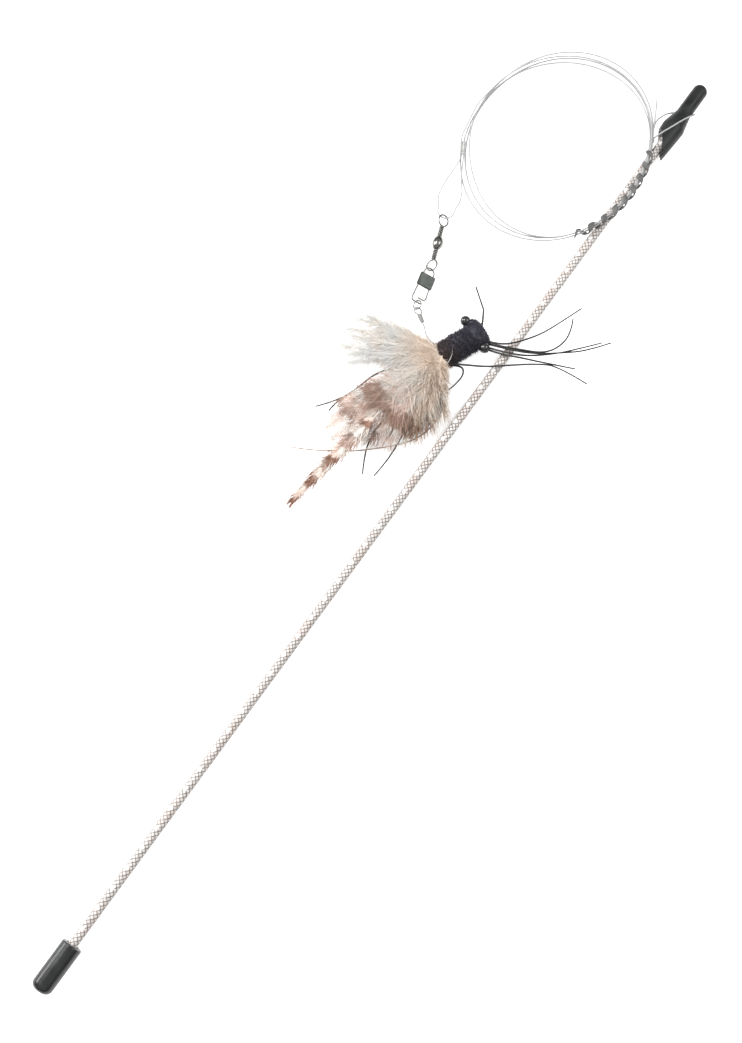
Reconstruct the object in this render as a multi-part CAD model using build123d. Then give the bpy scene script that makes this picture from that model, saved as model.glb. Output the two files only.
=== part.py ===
"""Cat teaser wand: a clear rod with two soft caps, a tied coil of clear line, a snap swivel and a feather lure.

Millimetres. The rod lies along +X with its butt at the origin, +Y is the side of the coil and the lure,
and +Z is up from the surface that the wand lies on.
"""
import math
import os

from build123d import *

# Rod: a clear tube with a patterned film rolled inside it
OVERALL_LENGTH = 457.0
ROD_DIAMETER = 5.0
ROD_WALL = 0.6
FILM_GAP = 0.05
FILM_WALL = 0.25

# Handle cap
HANDLE_CAP_LENGTH = 20.0
HANDLE_CAP_WALL = 1.7
HANDLE_CAP_END = 3.0
HANDLE_CAP_ROUND = 2.6
HANDLE_MOUTH_ROUND = 0.6

# Tip cap: a straight nose that grips the rod and a loose skirt with a slanted mouth
TIP_CAP_LENGTH = 39.5
NOSE_DIAMETER = 6.5
NOSE_LENGTH = 16.0
NOSE_ROUND = 2.9
NOSE_END = 5.0
SHOULDER_LENGTH = 8.0
SHOULDER_ROUND = 6.0
BELLY_DIAMETER = 10.0
MOUTH_DIAMETER = 8.2
SKIRT_WALL = 0.9
MOUTH_SLANT = 11.0

# Line, and the oval coil that it is wound into
LINE_DIAMETER = 0.6
COIL_CENTRE_X = 396.0
COIL_CENTRE_Y = 37.0
COIL_RADIUS = 42.2
COIL_OVAL = 3.6
COIL_OVAL_LEAN = 5.0
COIL_EGG = 1.2
COIL_FLOOR_GAP = 0.05
STRAND_SPACING = 1.06
LOOP_FAN = 2.6
RIGHT_FAN_SHARES = [0.35, -1.0, 0.95, -0.15]
LEFT_FAN_SHARES = [-1.0, -0.2, -2.1, 0.8]
COIL_LAPS = 3
KNOT_SPAN = 6.0

# Twist tie wound round the strands where the coil crosses the rod
TIE_WIRE_DIAMETER = 1.5
TIE_BUNDLE_GAP = 0.06
TIE_ROD_GAP = 0.12
TIE_TURNS = 9
TIE_FROM = -136.0
TIE_TO = -58.0

# Hitch of the line round the neck of the tip cap, its knot and its loose end, as routes of the line
KNOT_DIAMETER = 2.0
KNOT_DROP = 2.5
HITCH_ROUTE = [
    (427.2, 5.0, 4.6), (431.6, 4.4, 6.0), (436.4, 1.4, 6.4), (440.3, -2.4, 4.9), (442.0, -4.6, 1.9),
    (442.3, -4.2, -1.6), (442.0, -1.6, -3.9), (441.2, 2.0, -4.1), (439.2, 5.2, -2.6), (435.4, 7.3, -0.2),
    (431.0, 7.6, 1.6), (427.0, 6.2, 2.4),
]
TAG_ROUTE = [(426.6, 6.6, 3.6), (431.4, 9.4, 4.3), (436.0, 11.6, 4.8), (440.4, 12.6, 5.6)]

# Drop of the line from the coil to the swivel and back to the crimp sleeve
SLEEVE_LENGTH = 6.0
SLEEVE_BARREL_DIAMETER = 1.3
SLEEVE_BORE_CLEARANCE = 0.04
SLEEVE_LIFT = 2.4
SLEEVE_LEAD = 3.0
TAIL_PAST_SLEEVE = 1.0
SLEEVE_X = 373.6
SLEEVE_Y = 68.6
SLEEVE_HEADING = 211.0
COIL_LEAD = 6.0
LEAD_ROUTE = [(390.0, 74.4, -1.6), (384.4, 73.2, -1.75)]
DROP_ROUTE = [(362.6, 66.0, -2.2), (357.0, 65.8, -2.5), (351.8, 65.1, -2.6), (348.6, 63.9, -2.6)]
BIGHT_RADIUS = 3.5
BIGHT_SHARES = [(-0.42, -1.0), (0.42, -1.0), (1.0, -0.42), (1.0, 0.42), (0.42, 1.0), (-0.42, 1.0)]
RETURN_ROUTE = [(351.8, 54.9, -2.4), (356.8, 57.0, -2.0), (359.6, 59.6, -1.7), (364.2, 62.5, -1.7)]

# Barrel swivel
EYE_X = 341.4
EYE_Y = 56.0
SWIVEL_HEADING = 201.5
SWIVEL_FLOOR_GAP = 0.15
EYE_RADIUS = 2.45
SWIVEL_WIRE_DIAMETER = 0.7
UPPER_EYE_ROLL = -38.0
LOWER_EYE_ROLL = 32.0
LINE_IN_EYE = 1.3
NECK_LENGTH = 5.2
NECK_DIAMETER = 1.5
NECK_WRAPS = 6
WRAP_WIRE_SHARE = 0.9
BARREL_LENGTH = 5.7
BARREL_DIAMETER = 4.5
BARREL_MOUTH_DIAMETER = 2.4
BARREL_END_WALL = 0.9
BARREL_CAVITY_DIAMETER = 2.9
PIN_DIAMETER = 1.0
PIN_CLEARANCE = 0.06
PIN_HEAD_DIAMETER = 2.2
PIN_HEAD_LENGTH = 0.8
PIN_HEAD_PLAY = 0.15

# Snap: a wire frame, a folded plate over its two arms and a sprung gate
SNAP_HEADING = 194.5
SNAP_ROLL = -24.0
SNAP_LENGTH = 16.2
SNAP_TOP_WIDTH = 4.5
SNAP_FOOT_WIDTH = 6.2
SNAP_CORNER = 1.2
LINK_PLAY = 0.14
PLATE_START = 3.2
PLATE_LENGTH = 5.4
PLATE_WALL = 0.4
PLATE_SLOT_GAP = 0.06
PLATE_ROUND = 0.5
GATE_GAP = 0.12
GATE_BAR_RISE = 2.0
GATE_REACH = 0.6
FOOT_END_GAP = 0.5

# Lure ring and the wire link of the lure
RING_RADIUS = 1.9
RING_WIRE_DIAMETER = 0.6
RING_HEADING = 214.0
RING_ROLL = 36.0
LINK_EYE_RADIUS = 1.7
LINK_HEADING = 236.0
LINK_ROLL = -28.0
LINK_SLEEVE_LENGTH = 3.2
LINK_SLEEVE_WIDE = 2.1
LINK_SLEEVE_NARROW = 1.5
LINK_SLEEVE_CLEARANCE = 0.05
LINK_BENDS = [(294.7, 32.6, -1.2), (293.1, 29.0, -0.4)]
LINK_LEAD = 2.6
LINK_SEAT_GAP = 0.1

# Lure: a wound neck and a domed head on a wire shank, with bead eyes
LURE_X = 290.2
LURE_Y = 21.0
LURE_Z = 0.6
LURE_HEADING = -21.7
SHANK_DIAMETER = 1.2
SHANK_CLEARANCE = 0.03
NECK_CORE_DIAMETER = 6.4
NECK_CORE_LENGTH = 13.9
FLANGE_DIAMETER = 8.8
FLANGE_LENGTH = 1.4
CHENILLE_DIAMETER = 1.9
CHENILLE_PITCH = 2.4
CHENILLE_CORE_GAP = 0.05
CHENILLE_TURNS = 4
CHENILLE_END_SHARE = 0.1
HEAD_DIAMETER = 9.4
HEAD_LENGTH = 5.8
HEAD_ROUND = 2.6
HEAD_GAP = 0.05
EYE_BAR_DIAMETER = 1.2
EYE_BAR_CLEARANCE = 0.03
EYE_BAR_SETBACK = 3.9
EYE_BEAD_DIAMETER = 4.4
EYE_BEAD_GAP = 0.1

# Bristles: whiskers, an antenna and legs
BRISTLE_DIAMETER = 0.46
WHISKER_REACH = 50.0
BRISTLE_SEAT_GAP = 0.1
BRISTLE_LEAD = 1.2
WHISKER_SHARES = [
    [(-0.012, 0.022), (0.06, -0.15, 0.066), (0.33, -0.29, 0.078), (0.76, -0.26, 0.066)],
    [(-0.034, 0.012), (0.03, -0.26, 0.066), (0.17, -0.49, 0.072), (0.42, -0.51, 0.07), (0.64, -0.35, 0.06)],
    [(-0.04, -0.012), (0.026, -0.34, 0.06), (0.24, -0.62, 0.074), (0.76, -0.76, 0.06)],
    [(-0.018, -0.004), (0.1, -0.28, 0.084), (0.3, -0.62, 0.09), (0.82, -0.82, 0.08)],
    [(-0.016, -0.028), (0.03, -0.16, 0.05), (0.024, -0.34, 0.074), (0.04, -0.56, 0.07), (0.2, -0.8, 0.05)],
]
ANTENNA_SHARES = [(0.012, 0.034), (0.1, 0.16, 0.1), (0.18, 0.3, 0.13), (0.19, 0.36, 0.15)]
SIDE_WHISKER_SHARES = [
    (0.07, -0.19, 0.02), (0.19, -0.34, 0.07), (0.36, -0.43, 0.08), (0.58, -0.56, 0.08), (0.74, -0.72, 0.07),
    (0.88, -0.95, 0.07),
]
SIDE_LEG_SHARES = [(0.06, -0.17, -0.03), (0.0, -0.235, -0.045), (-0.12, -0.23, -0.055), (-0.2, -0.25, -0.06)]
SWEPT_LEG_SHARES = [
    (-0.1, -0.1, -0.1), (-0.3, -0.3, -0.102), (-0.62, -0.385, -0.102), (-0.87, -0.3, -0.1), (-1.12, -0.2, -0.05),
    (-1.36, 0.0, -0.04),
]

# Feathers: thin curved vanes stacked in levels behind the neck, each level a little steeper than the one below
FEATHER_LENGTH = 60.0
FEATHER_WIDTH = 10.5
FEATHER_THICKNESS = 0.35
FEATHER_ROOT_WIDTH = 1.8
FEATHER_TIP_WIDTH = 3.0
FEATHER_DROOP_RADIUS = 300.0
FEATHER_BELLY_SHARE = 0.58
FEATHER_TIP_SHARE = 0.94
ROOT_GAP = 0.3
LEVEL_STEP = 1.1
LEVEL_LOW = -4.0
LEVEL_PITCH_ANGLE = 3.5
LEVEL_STEP_ANGLE = 1.2
ROOT_SPREAD = 2.2
BARRED_SHARES = [(26.0, 0, 0.74, 0.95), (-1.0, 2, 0.82, 1.05), (-9.0, 3, 0.74, 1.0), (13.0, 4, 0.8, 0.95)]
TAN_SHARES = [(43.0, 1, 0.58, 1.0), (60.0, 7, 0.36, 0.85), (45.0, 8, 0.52, 0.95)]
CREAM_SHARES = [
    (-31.0, 5, 0.64, 0.9), (-39.0, 6, 0.68, 0.9), (-48.0, 7, 0.66, 0.85), (-57.0, 8, 0.6, 0.8),
]
LEG_SHARES = [(24.5, 0.5, 0.98), (28.0, 1.5, 0.96), (-11.0, 2.5, 0.93), (-6.0, 3.5, 0.87)]
TAIL_TURN_ANGLE = 13.5
TAIL_PITCH_ANGLE = 11.5
TAIL_LEVEL_SHARE = 4.5
TAIL_QUILL_LENGTH = 54.0
TAIL_VANE_LENGTH = 36.0
TAIL_VANE_WIDTH = 6.6

# Shared by all cuts
OVERRUN = 1.0

# Shared by all routes of the line and by the measured gaps
BEND_SHARE = 0.45
ANGLE_STEP = 0.01
COIL_SAMPLES = 900
WINDING_SAMPLES = 360

# Sizes worked out from the ones above
ROD_RADIUS = ROD_DIAMETER / 2
LINE_RADIUS = LINE_DIAMETER / 2
FLOOR_Z = -BELLY_DIAMETER / 2
ROD_START = HANDLE_CAP_END
ROD_END = OVERALL_LENGTH - NOSE_END
TIP_CAP_START = OVERALL_LENGTH - TIP_CAP_LENGTH
TIE_SPAN = TIE_TO - TIE_FROM
FREE_SPAN = 360.0 - TIE_SPAN
BUNDLE_RADIUS = STRAND_SPACING / math.sqrt(3) + LINE_RADIUS
TIE_HELIX_RADIUS = BUNDLE_RADIUS + TIE_BUNDLE_GAP + TIE_WIRE_DIAMETER / 2
BUNDLE_HEIGHT = ROD_RADIUS + TIE_ROD_GAP + TIE_HELIX_RADIUS + TIE_WIRE_DIAMETER / 2
LURE_ORIGIN = Vector(LURE_X, LURE_Y, LURE_Z)
UP = Vector(0, 0, 1)


def heading_vector(degrees):
    """The level unit vector that points along a heading."""
    return Vector(math.cos(math.radians(degrees)), math.sin(math.radians(degrees)), 0)


def rolled_plane(origin, heading, roll, pitch=0.0):
    """A plane whose x axis follows a heading and a pitch, rolled about that axis."""
    along = heading_vector(heading)
    x_dir = along * math.cos(math.radians(pitch)) + UP * math.sin(math.radians(pitch))
    normal = UP * math.cos(math.radians(pitch)) - along * math.sin(math.radians(pitch))
    return Plane(origin, x_dir=x_dir, z_dir=normal.rotate(Axis((0, 0, 0), x_dir), roll))


def tube(path, diameter):
    """A round tube along a path."""
    return sweep(Plane(path @ 0, z_dir=path % 0) * Circle(diameter / 2), path=path)


def route(points, name):
    """Straight runs joined by tangent arcs, each as large as its two runs allow."""
    points = [Vector(*point) for point in points]
    radii = []
    for before, corner, after in zip(points, points[1:], points[2:]):
        half_turn = math.radians((corner - before).get_angle(after - corner)) / 2
        shorter = min((corner - before).length, (after - corner).length)
        radii.append(BEND_SHARE * shorter / math.tan(half_turn))
    print(name, "bend radii", [round(radius, 1) for radius in radii])
    return FilletPolyline(*points, radius=radii)


def biarcs(points, tangents):
    """A smooth path of two tangent arcs between each point and the next."""
    edges = []
    for start, end, leave, arrive in zip(points, points[1:], tangents, tangents[1:]):
        span = end - start
        both = leave + arrive
        bend = 2 * (1 - leave.dot(arrive))
        reach = -span.dot(both) + math.sqrt(span.dot(both) ** 2 + bend * span.dot(span))
        reach = reach / bend
        first = start + leave * reach
        second = end - arrive * reach
        joint = (first + second) * 0.5
        edges.append(TangentArc(start, joint, tangent=leave))
        edges.append(TangentArc(joint, end, tangent=second - first))
    return edges


def least_gap(path, diameter, samples, apart):
    """The least clear gap between stretches of one tube that lie some length apart along it."""
    points = [path @ (index / samples) for index in range(samples + 1)]
    skip = math.ceil(apart * samples / path.length)
    gaps = []
    for index, point in enumerate(points):
        for other in points[index + skip:]:
            gaps.append((other - point).length)
    return min(gaps) - diameter


def wire_ring(plane, radius, diameter):
    """A round wire ring in a plane."""
    return plane.location * Torus(radius, diameter / 2)


def along_x(start, end, diameter):
    """A round bar on the X axis between two stations."""
    bar = Plane.YZ.offset(start) * Circle(diameter / 2)
    return extrude(bar, amount=end - start)


def spun(outline):
    """A solid turned about the X axis from an outline of stations and radii."""
    face = make_face(Polyline(*outline, close=True))
    return revolve(face, axis=Axis.X, revolution_arc=360)


# Rod tube and its film
def rod_tube():
    bore = along_x(ROD_START - OVERRUN, ROD_END + OVERRUN, ROD_DIAMETER - 2 * ROD_WALL)
    return along_x(ROD_START, ROD_END, ROD_DIAMETER) - bore


def pattern_film():
    outside = ROD_DIAMETER - 2 * ROD_WALL - 2 * FILM_GAP
    bore = along_x(ROD_START - OVERRUN, ROD_END + OVERRUN, outside - 2 * FILM_WALL)
    return along_x(ROD_START, ROD_END, outside) - bore


# Soft caps on the two ends of the rod
def handle_cap():
    body = along_x(0, HANDLE_CAP_LENGTH, ROD_DIAMETER + 2 * HANDLE_CAP_WALL)
    rims = body.edges().filter_by(GeomType.CIRCLE).sort_by(Axis.X)
    body = fillet(rims[0], HANDLE_CAP_ROUND)
    body = fillet(body.edges().filter_by(GeomType.CIRCLE).sort_by(Axis.X)[-1], HANDLE_MOUTH_ROUND)
    return body - along_x(ROD_START, HANDLE_CAP_LENGTH + OVERRUN, ROD_DIAMETER)


def tip_cap():
    neck_start = OVERALL_LENGTH - NOSE_LENGTH
    belly_end = neck_start - SHOULDER_LENGTH
    outside = spun([
        (TIP_CAP_START, 0), (TIP_CAP_START, MOUTH_DIAMETER / 2), (belly_end, BELLY_DIAMETER / 2),
        (neck_start, NOSE_DIAMETER / 2), (OVERALL_LENGTH, NOSE_DIAMETER / 2), (OVERALL_LENGTH, 0),
    ])
    rims = outside.edges().filter_by(GeomType.CIRCLE).sort_by(Axis.X)
    outside = fillet([rims[1], rims[2]], SHOULDER_ROUND)
    outside = fillet(outside.edges().filter_by(GeomType.CIRCLE).sort_by(Axis.X)[-1], NOSE_ROUND)
    inside = spun([
        (TIP_CAP_START, 0), (TIP_CAP_START, MOUTH_DIAMETER / 2 - SKIRT_WALL),
        (belly_end, BELLY_DIAMETER / 2 - SKIRT_WALL), (neck_start, ROD_RADIUS), (ROD_END, ROD_RADIUS),
        (ROD_END, 0),
    ])
    middle = Vector(TIP_CAP_START + MOUTH_SLANT / 2, 0, 0)
    keep_side = Vector(MOUTH_DIAMETER, -MOUTH_SLANT, 0).normalized()
    return split(outside - inside, bisect_by=Plane(middle, z_dir=keep_side), keep=Keep.TOP)


# Coil of line: an oval that leans from the crown of the rod down to the floor
def coil_radius(angle):
    oval = COIL_OVAL * math.cos(math.radians(2 * (angle - COIL_OVAL_LEAN)))
    return COIL_RADIUS + oval - COIL_EGG * math.sin(math.radians(angle))


def coil_plane():
    far_reach = coil_radius(90)
    fall = BUNDLE_HEIGHT - (FLOOR_Z + LINE_RADIUS + COIL_FLOOR_GAP)
    slope = fall / (COIL_CENTRE_Y + far_reach)
    centre = Vector(COIL_CENTRE_X, COIL_CENTRE_Y, BUNDLE_HEIGHT - COIL_CENTRE_Y * slope)
    return Plane(centre, x_dir=(1, 0, 0), z_dir=Vector(0, slope, 1))


def tie_lane(lap):
    """Where the strand of a lap lies in the tied bundle: outwards and up. Lap 0 is the strand from the knot."""
    ring_radius = STRAND_SPACING / math.sqrt(3)
    lanes = [
        (0, -KNOT_DROP), (-STRAND_SPACING / 2, -ring_radius / 2), (STRAND_SPACING / 2, -ring_radius / 2),
        (0, ring_radius),
    ]
    return lanes[lap]


def eased(share):
    return (1 - math.cos(math.pi * share)) / 2


def coil_point(angle):
    """A point of the coil, by the angle turned in all since the first tie."""
    lap = math.floor((angle - TIE_TO) / 360)
    free_share = (angle - TIE_TO - 360 * lap) / FREE_SPAN
    fan = 0
    if free_share >= 1:
        outwards, up = tie_lane(lap + 1)
    elif free_share < 0.5:
        near = tie_lane(lap)
        fan = RIGHT_FAN_SHARES[lap]
        outwards = near[0] * (1 - eased(2 * free_share))
        up = near[1] + (lap * STRAND_SPACING - near[1]) * eased(2 * free_share)
    else:
        near = tie_lane(lap + 1) if lap < COIL_LAPS else (0, 0)
        fan = LEFT_FAN_SHARES[lap]
        outwards = near[0] * eased(2 * free_share - 1)
        up = lap * STRAND_SPACING * (1 - eased(2 * free_share - 1))
        up = up + near[1] * eased(2 * free_share - 1)
    spread = fan * LOOP_FAN * math.sin(2 * math.pi * free_share) ** 2
    radius = coil_radius(angle) + outwards + spread
    turned = math.radians(angle)
    return coil_plane().from_local_coords(Vector(radius * math.cos(turned), radius * math.sin(turned), up))


def coil_tangent(angle):
    return (coil_point(angle + ANGLE_STEP) - coil_point(angle - ANGLE_STEP)).normalized()


def coil_angles():
    """The stations of the coil: the knot, then quarter spans of each free stretch and the two ends of each tie."""
    angles = [TIE_TO + KNOT_SPAN]
    for lap in range(COIL_LAPS):
        for share in (0.25, 0.5, 0.75, 1.0):
            angles.append(TIE_TO + 360 * lap + FREE_SPAN * share)
        angles.append(TIE_TO + 360 * (lap + 1))
    for share in (0.25, 0.5):
        angles.append(TIE_TO + 360 * COIL_LAPS + FREE_SPAN * share)
    return angles


def coil_path():
    angles = coil_angles()
    return Wire(biarcs([coil_point(angle) for angle in angles], [coil_tangent(angle) for angle in angles]))


def line_coil():
    path = coil_path()
    print("line coil length", round(path.length, 1))
    print("line coil least gap", round(least_gap(path, LINE_DIAMETER, COIL_SAMPLES, COIL_RADIUS), 2))
    return tube(path, LINE_DIAMETER)


# Twist tie: a helix along the middle of the tied bundle
def tie_axis():
    ends = [TIE_FROM, TIE_TO]
    plane = coil_plane()
    points = []
    tangents = []
    for end in ends:
        spots = []
        for angle in (end - ANGLE_STEP, end, end + ANGLE_STEP):
            turned = math.radians(angle)
            radius = coil_radius(angle)
            spots.append(plane.from_local_coords(Vector(radius * math.cos(turned), radius * math.sin(turned), 0)))
        points.append(spots[1])
        tangents.append((spots[2] - spots[0]).normalized())
    return Wire(biarcs(points, tangents))


def helix_path(axis, normal, radius, turns, end_length):
    """A helix along an axis path, as biarcs of a quarter turn with straight ends."""
    points = []
    tangents = []
    for quarter in range(4 * turns + 1):
        share = quarter / (4 * turns)
        turned = math.pi / 2 * quarter
        ahead = axis % share
        side = ahead.cross(normal).normalized()
        top = side.cross(ahead)
        points.append((axis @ share) + (side * math.cos(turned) + top * math.sin(turned)) * radius)
        round_it = top * math.cos(turned) - side * math.sin(turned)
        tangents.append((ahead * axis.length + round_it * (2 * math.pi * turns * radius)).normalized())
    first = Line(points[0] - tangents[0] * end_length, points[0])
    last = Line(points[-1], points[-1] + tangents[-1] * end_length)
    return Wire([first] + biarcs(points, tangents) + [last])


def twist_tie():
    path = helix_path(tie_axis(), coil_plane().z_dir, TIE_HELIX_RADIUS, TIE_TURNS, TIE_WIRE_DIAMETER)
    print("twist tie least gap", round(least_gap(path, TIE_WIRE_DIAMETER, WINDING_SAMPLES, 2 * TIE_HELIX_RADIUS), 2))
    return tube(path, TIE_WIRE_DIAMETER)


# Hitch, knot and loose end of the line at the tip cap
def knot_centre():
    return coil_point(TIE_TO + KNOT_SPAN)


def line_knot():
    return Pos(knot_centre()) * Sphere(KNOT_DIAMETER / 2)


def line_hitch():
    leave = knot_centre() + UP * (KNOT_DIAMETER / 4)
    arrive = knot_centre() - UP * (KNOT_DIAMETER / 4)
    points = [tuple(leave)] + HITCH_ROUTE + [tuple(arrive)]
    return tube(route(points, "line hitch"), LINE_DIAMETER)


def line_tag_end():
    return tube(route([tuple(knot_centre())] + TAG_ROUTE, "line tag end"), LINE_DIAMETER)


# Crimp sleeve with two bores, and the drop of the line through the swivel eye
def sleeve_plane():
    height = FLOOR_Z + SLEEVE_LIFT + SLEEVE_BARREL_DIAMETER / 2
    return rolled_plane(Vector(SLEEVE_X, SLEEVE_Y, height), SLEEVE_HEADING, 0)


def sleeve_run(side, past_entry, past_exit):
    """A straight run of the line through a bore of the sleeve, from the entry nearer the coil."""
    plane = sleeve_plane()
    across = side * SLEEVE_BARREL_DIAMETER / 2
    half = SLEEVE_LENGTH / 2
    return [plane.from_local_coords(Vector(x, across, 0)) for x in (-half - past_entry, half + past_exit)]


def crimp_sleeve():
    barrels = []
    bores = []
    for side in (-1, 1):
        centre = Pos(0, side * SLEEVE_BARREL_DIAMETER / 2, 0)
        barrels.append(centre * along_x(-SLEEVE_LENGTH / 2, SLEEVE_LENGTH / 2, SLEEVE_BARREL_DIAMETER))
        reach = SLEEVE_LENGTH / 2 + OVERRUN
        bores.append(centre * along_x(-reach, reach, LINE_DIAMETER + 2 * SLEEVE_BORE_CLEARANCE))
    web = Box(SLEEVE_LENGTH, SLEEVE_BARREL_DIAMETER, SLEEVE_BARREL_DIAMETER / 2)
    return sleeve_plane().location * (barrels[0] + barrels[1] + web - bores[0] - bores[1])


def line_drop():
    end_angle = TIE_TO + 360 * COIL_LAPS + FREE_SPAN / 2
    start = coil_point(end_angle)
    lead = [start, start + coil_tangent(end_angle) * COIL_LEAD]
    outer = sleeve_run(-1, SLEEVE_LEAD, SLEEVE_LEAD)
    inner = sleeve_run(1, TAIL_PAST_SLEEVE, SLEEVE_LEAD)
    swivel = swivel_plane()
    bight = []
    for ahead, aside in BIGHT_SHARES:
        spot = Vector(BIGHT_RADIUS * (ahead - 1) - LINE_IN_EYE, BIGHT_RADIUS * aside, 0)
        bight.append(swivel.from_local_coords(spot))
    points = lead + LEAD_ROUTE + outer + DROP_ROUTE + bight + RETURN_ROUTE + [inner[1], inner[0]]
    path = route([tuple(point) for point in points], "line drop")
    print("line drop length", round(path.length, 1))
    return tube(path, LINE_DIAMETER)


# Swivel: two wire eyes whose headed pins turn in one barrel
def swivel_plane():
    height = FLOOR_Z + SWIVEL_FLOOR_GAP + BARREL_DIAMETER / 2
    return rolled_plane(Vector(EYE_X, EYE_Y, height), SWIVEL_HEADING, 0)


def barrel_station():
    return EYE_RADIUS + NECK_LENGTH + BARREL_LENGTH / 2


def lower_eye_station():
    return 2 * barrel_station()


def wire_eye(roll):
    """An eye about the origin with its wound neck and headed pin towards +X."""
    neck_end = EYE_RADIUS + NECK_LENGTH
    wire_radius = SWIVEL_WIRE_DIAMETER / 2
    eye = Rot(roll, 0, 0) * Torus(EYE_RADIUS, wire_radius)
    neck = along_x(EYE_RADIUS, neck_end - PIN_HEAD_PLAY, NECK_DIAMETER)
    wraps = []
    step = (NECK_LENGTH - 2 * wire_radius) / NECK_WRAPS
    for wrap in range(NECK_WRAPS):
        station = EYE_RADIUS + wire_radius + step * (wrap + 0.5)
        wraps.append(Pos(station, 0, 0) * Rot(0, 90, 0) * Torus(NECK_DIAMETER / 2, wire_radius * WRAP_WIRE_SHARE))
    pin_end = neck_end + BARREL_END_WALL + PIN_HEAD_PLAY
    pin = along_x(neck_end - wire_radius, pin_end + PIN_HEAD_LENGTH, PIN_DIAMETER)
    head = along_x(pin_end, pin_end + PIN_HEAD_LENGTH, PIN_HEAD_DIAMETER)
    return eye + neck + wraps + pin + head


def upper_eye():
    return swivel_plane().location * wire_eye(UPPER_EYE_ROLL)


def lower_eye():
    turned = Pos(lower_eye_station(), 0, 0) * Rot(0, 0, 180)
    return swivel_plane().location * turned * wire_eye(-LOWER_EYE_ROLL)


def swivel_barrel():
    half = BARREL_LENGTH / 2
    mouth = BARREL_MOUTH_DIAMETER / 2
    bulge = ThreePointArc((-half, mouth), (0, BARREL_DIAMETER / 2), (half, mouth))
    bore = PIN_DIAMETER / 2 + PIN_CLEARANCE
    cavity = BARREL_CAVITY_DIAMETER / 2
    cavity_end = half - BARREL_END_WALL
    inside = Polyline(
        (half, mouth), (half, bore), (cavity_end, bore), (cavity_end, cavity), (-cavity_end, cavity),
        (-cavity_end, bore), (-half, bore), (-half, mouth),
    )
    shell = revolve(make_face([bulge, inside]), axis=Axis.X, revolution_arc=360)
    return swivel_plane().location * Pos(barrel_station(), 0, 0) * shell


# Snap
def link_offset(first, second):
    """How far the middles of two linked wires stand apart."""
    return first / 2 + second / 2 + LINK_PLAY


def snap_plane():
    """The snap's own plane, with its origin at the top of the wire frame inside the lower eye."""
    depth = EYE_RADIUS - link_offset(SWIVEL_WIRE_DIAMETER, SWIVEL_WIRE_DIAMETER)
    top = swivel_plane().from_local_coords(Vector(lower_eye_station() + depth, 0, 0))
    return rolled_plane(top, SNAP_HEADING, SNAP_ROLL)


def arm_half_width(station):
    top = SNAP_TOP_WIDTH / 2
    spread = (SNAP_FOOT_WIDTH - SNAP_TOP_WIDTH) / 2
    return top + spread * (station - top) / (SNAP_LENGTH - top)


def plate_end():
    return PLATE_START + PLATE_LENGTH


def snap_frame():
    top = SNAP_TOP_WIDTH / 2
    foot = arm_half_width(SNAP_LENGTH)
    stub_end = plate_end()
    crown = ThreePointArc((top, top, 0), (0, 0, 0), (top, -top, 0))
    stub = Line((stub_end, arm_half_width(stub_end), 0), (top, top, 0))
    long_arm = FilletPolyline(
        (top, -top, 0), (SNAP_LENGTH, -foot, 0), (SNAP_LENGTH, foot - SWIVEL_WIRE_DIAMETER - FOOT_END_GAP, 0),
        radius=SNAP_CORNER,
    )
    pieces = tube(stub, SWIVEL_WIRE_DIAMETER) + tube(crown, SWIVEL_WIRE_DIAMETER)
    return snap_plane().location * (pieces + tube(long_arm, SWIVEL_WIRE_DIAMETER))


def snap_plate():
    middle = PLATE_START + PLATE_LENGTH / 2
    slot_height = SWIVEL_WIRE_DIAMETER + 2 * PLATE_SLOT_GAP
    slot_width = 2 * arm_half_width(plate_end()) + SWIVEL_WIRE_DIAMETER + 2 * PLATE_SLOT_GAP
    block = Box(PLATE_LENGTH, slot_width + 2 * PLATE_WALL, slot_height + 2 * PLATE_WALL)
    block = fillet(block.edges().filter_by(Axis.X), PLATE_ROUND)
    slot = Box(PLATE_LENGTH + 2 * OVERRUN, slot_width, slot_height)
    return snap_plane().location * Pos(middle, 0, 0) * (block - slot)


def gate_root():
    start = plate_end() + GATE_GAP
    return Vector(start, arm_half_width(start), 0)


def snap_gate():
    bar = SNAP_LENGTH - GATE_BAR_RISE
    corner = (bar, arm_half_width(bar), 0)
    end = (bar, -GATE_REACH, 0)
    path = FilletPolyline(tuple(gate_root()), corner, end, radius=SNAP_CORNER)
    return snap_plane().location * tube(path, SWIVEL_WIRE_DIAMETER)


# Lure ring on the foot of the snap, and the lure's wire link in the ring
def foot_middle():
    return snap_plane().from_local_coords(Vector(SNAP_LENGTH, 0, 0))


def ring_centre():
    reach = RING_RADIUS - link_offset(SWIVEL_WIRE_DIAMETER, RING_WIRE_DIAMETER)
    return foot_middle() + heading_vector(RING_HEADING) * reach


def lure_ring():
    return wire_ring(rolled_plane(ring_centre(), RING_HEADING, RING_ROLL), RING_RADIUS, RING_WIRE_DIAMETER)


def link_plane():
    far_side = ring_centre() + heading_vector(RING_HEADING) * RING_RADIUS
    reach = LINK_EYE_RADIUS - link_offset(RING_WIRE_DIAMETER, RING_WIRE_DIAMETER)
    return rolled_plane(far_side + heading_vector(LINK_HEADING) * reach, LINK_HEADING, LINK_ROLL)


def link_seat():
    """Where the link meets the rim of the flange behind the neck."""
    reach = FLANGE_DIAMETER / 2 + LINK_SEAT_GAP
    return lure_plane().from_local_coords(Vector(FLANGE_LENGTH / 2, reach, 0))


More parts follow.
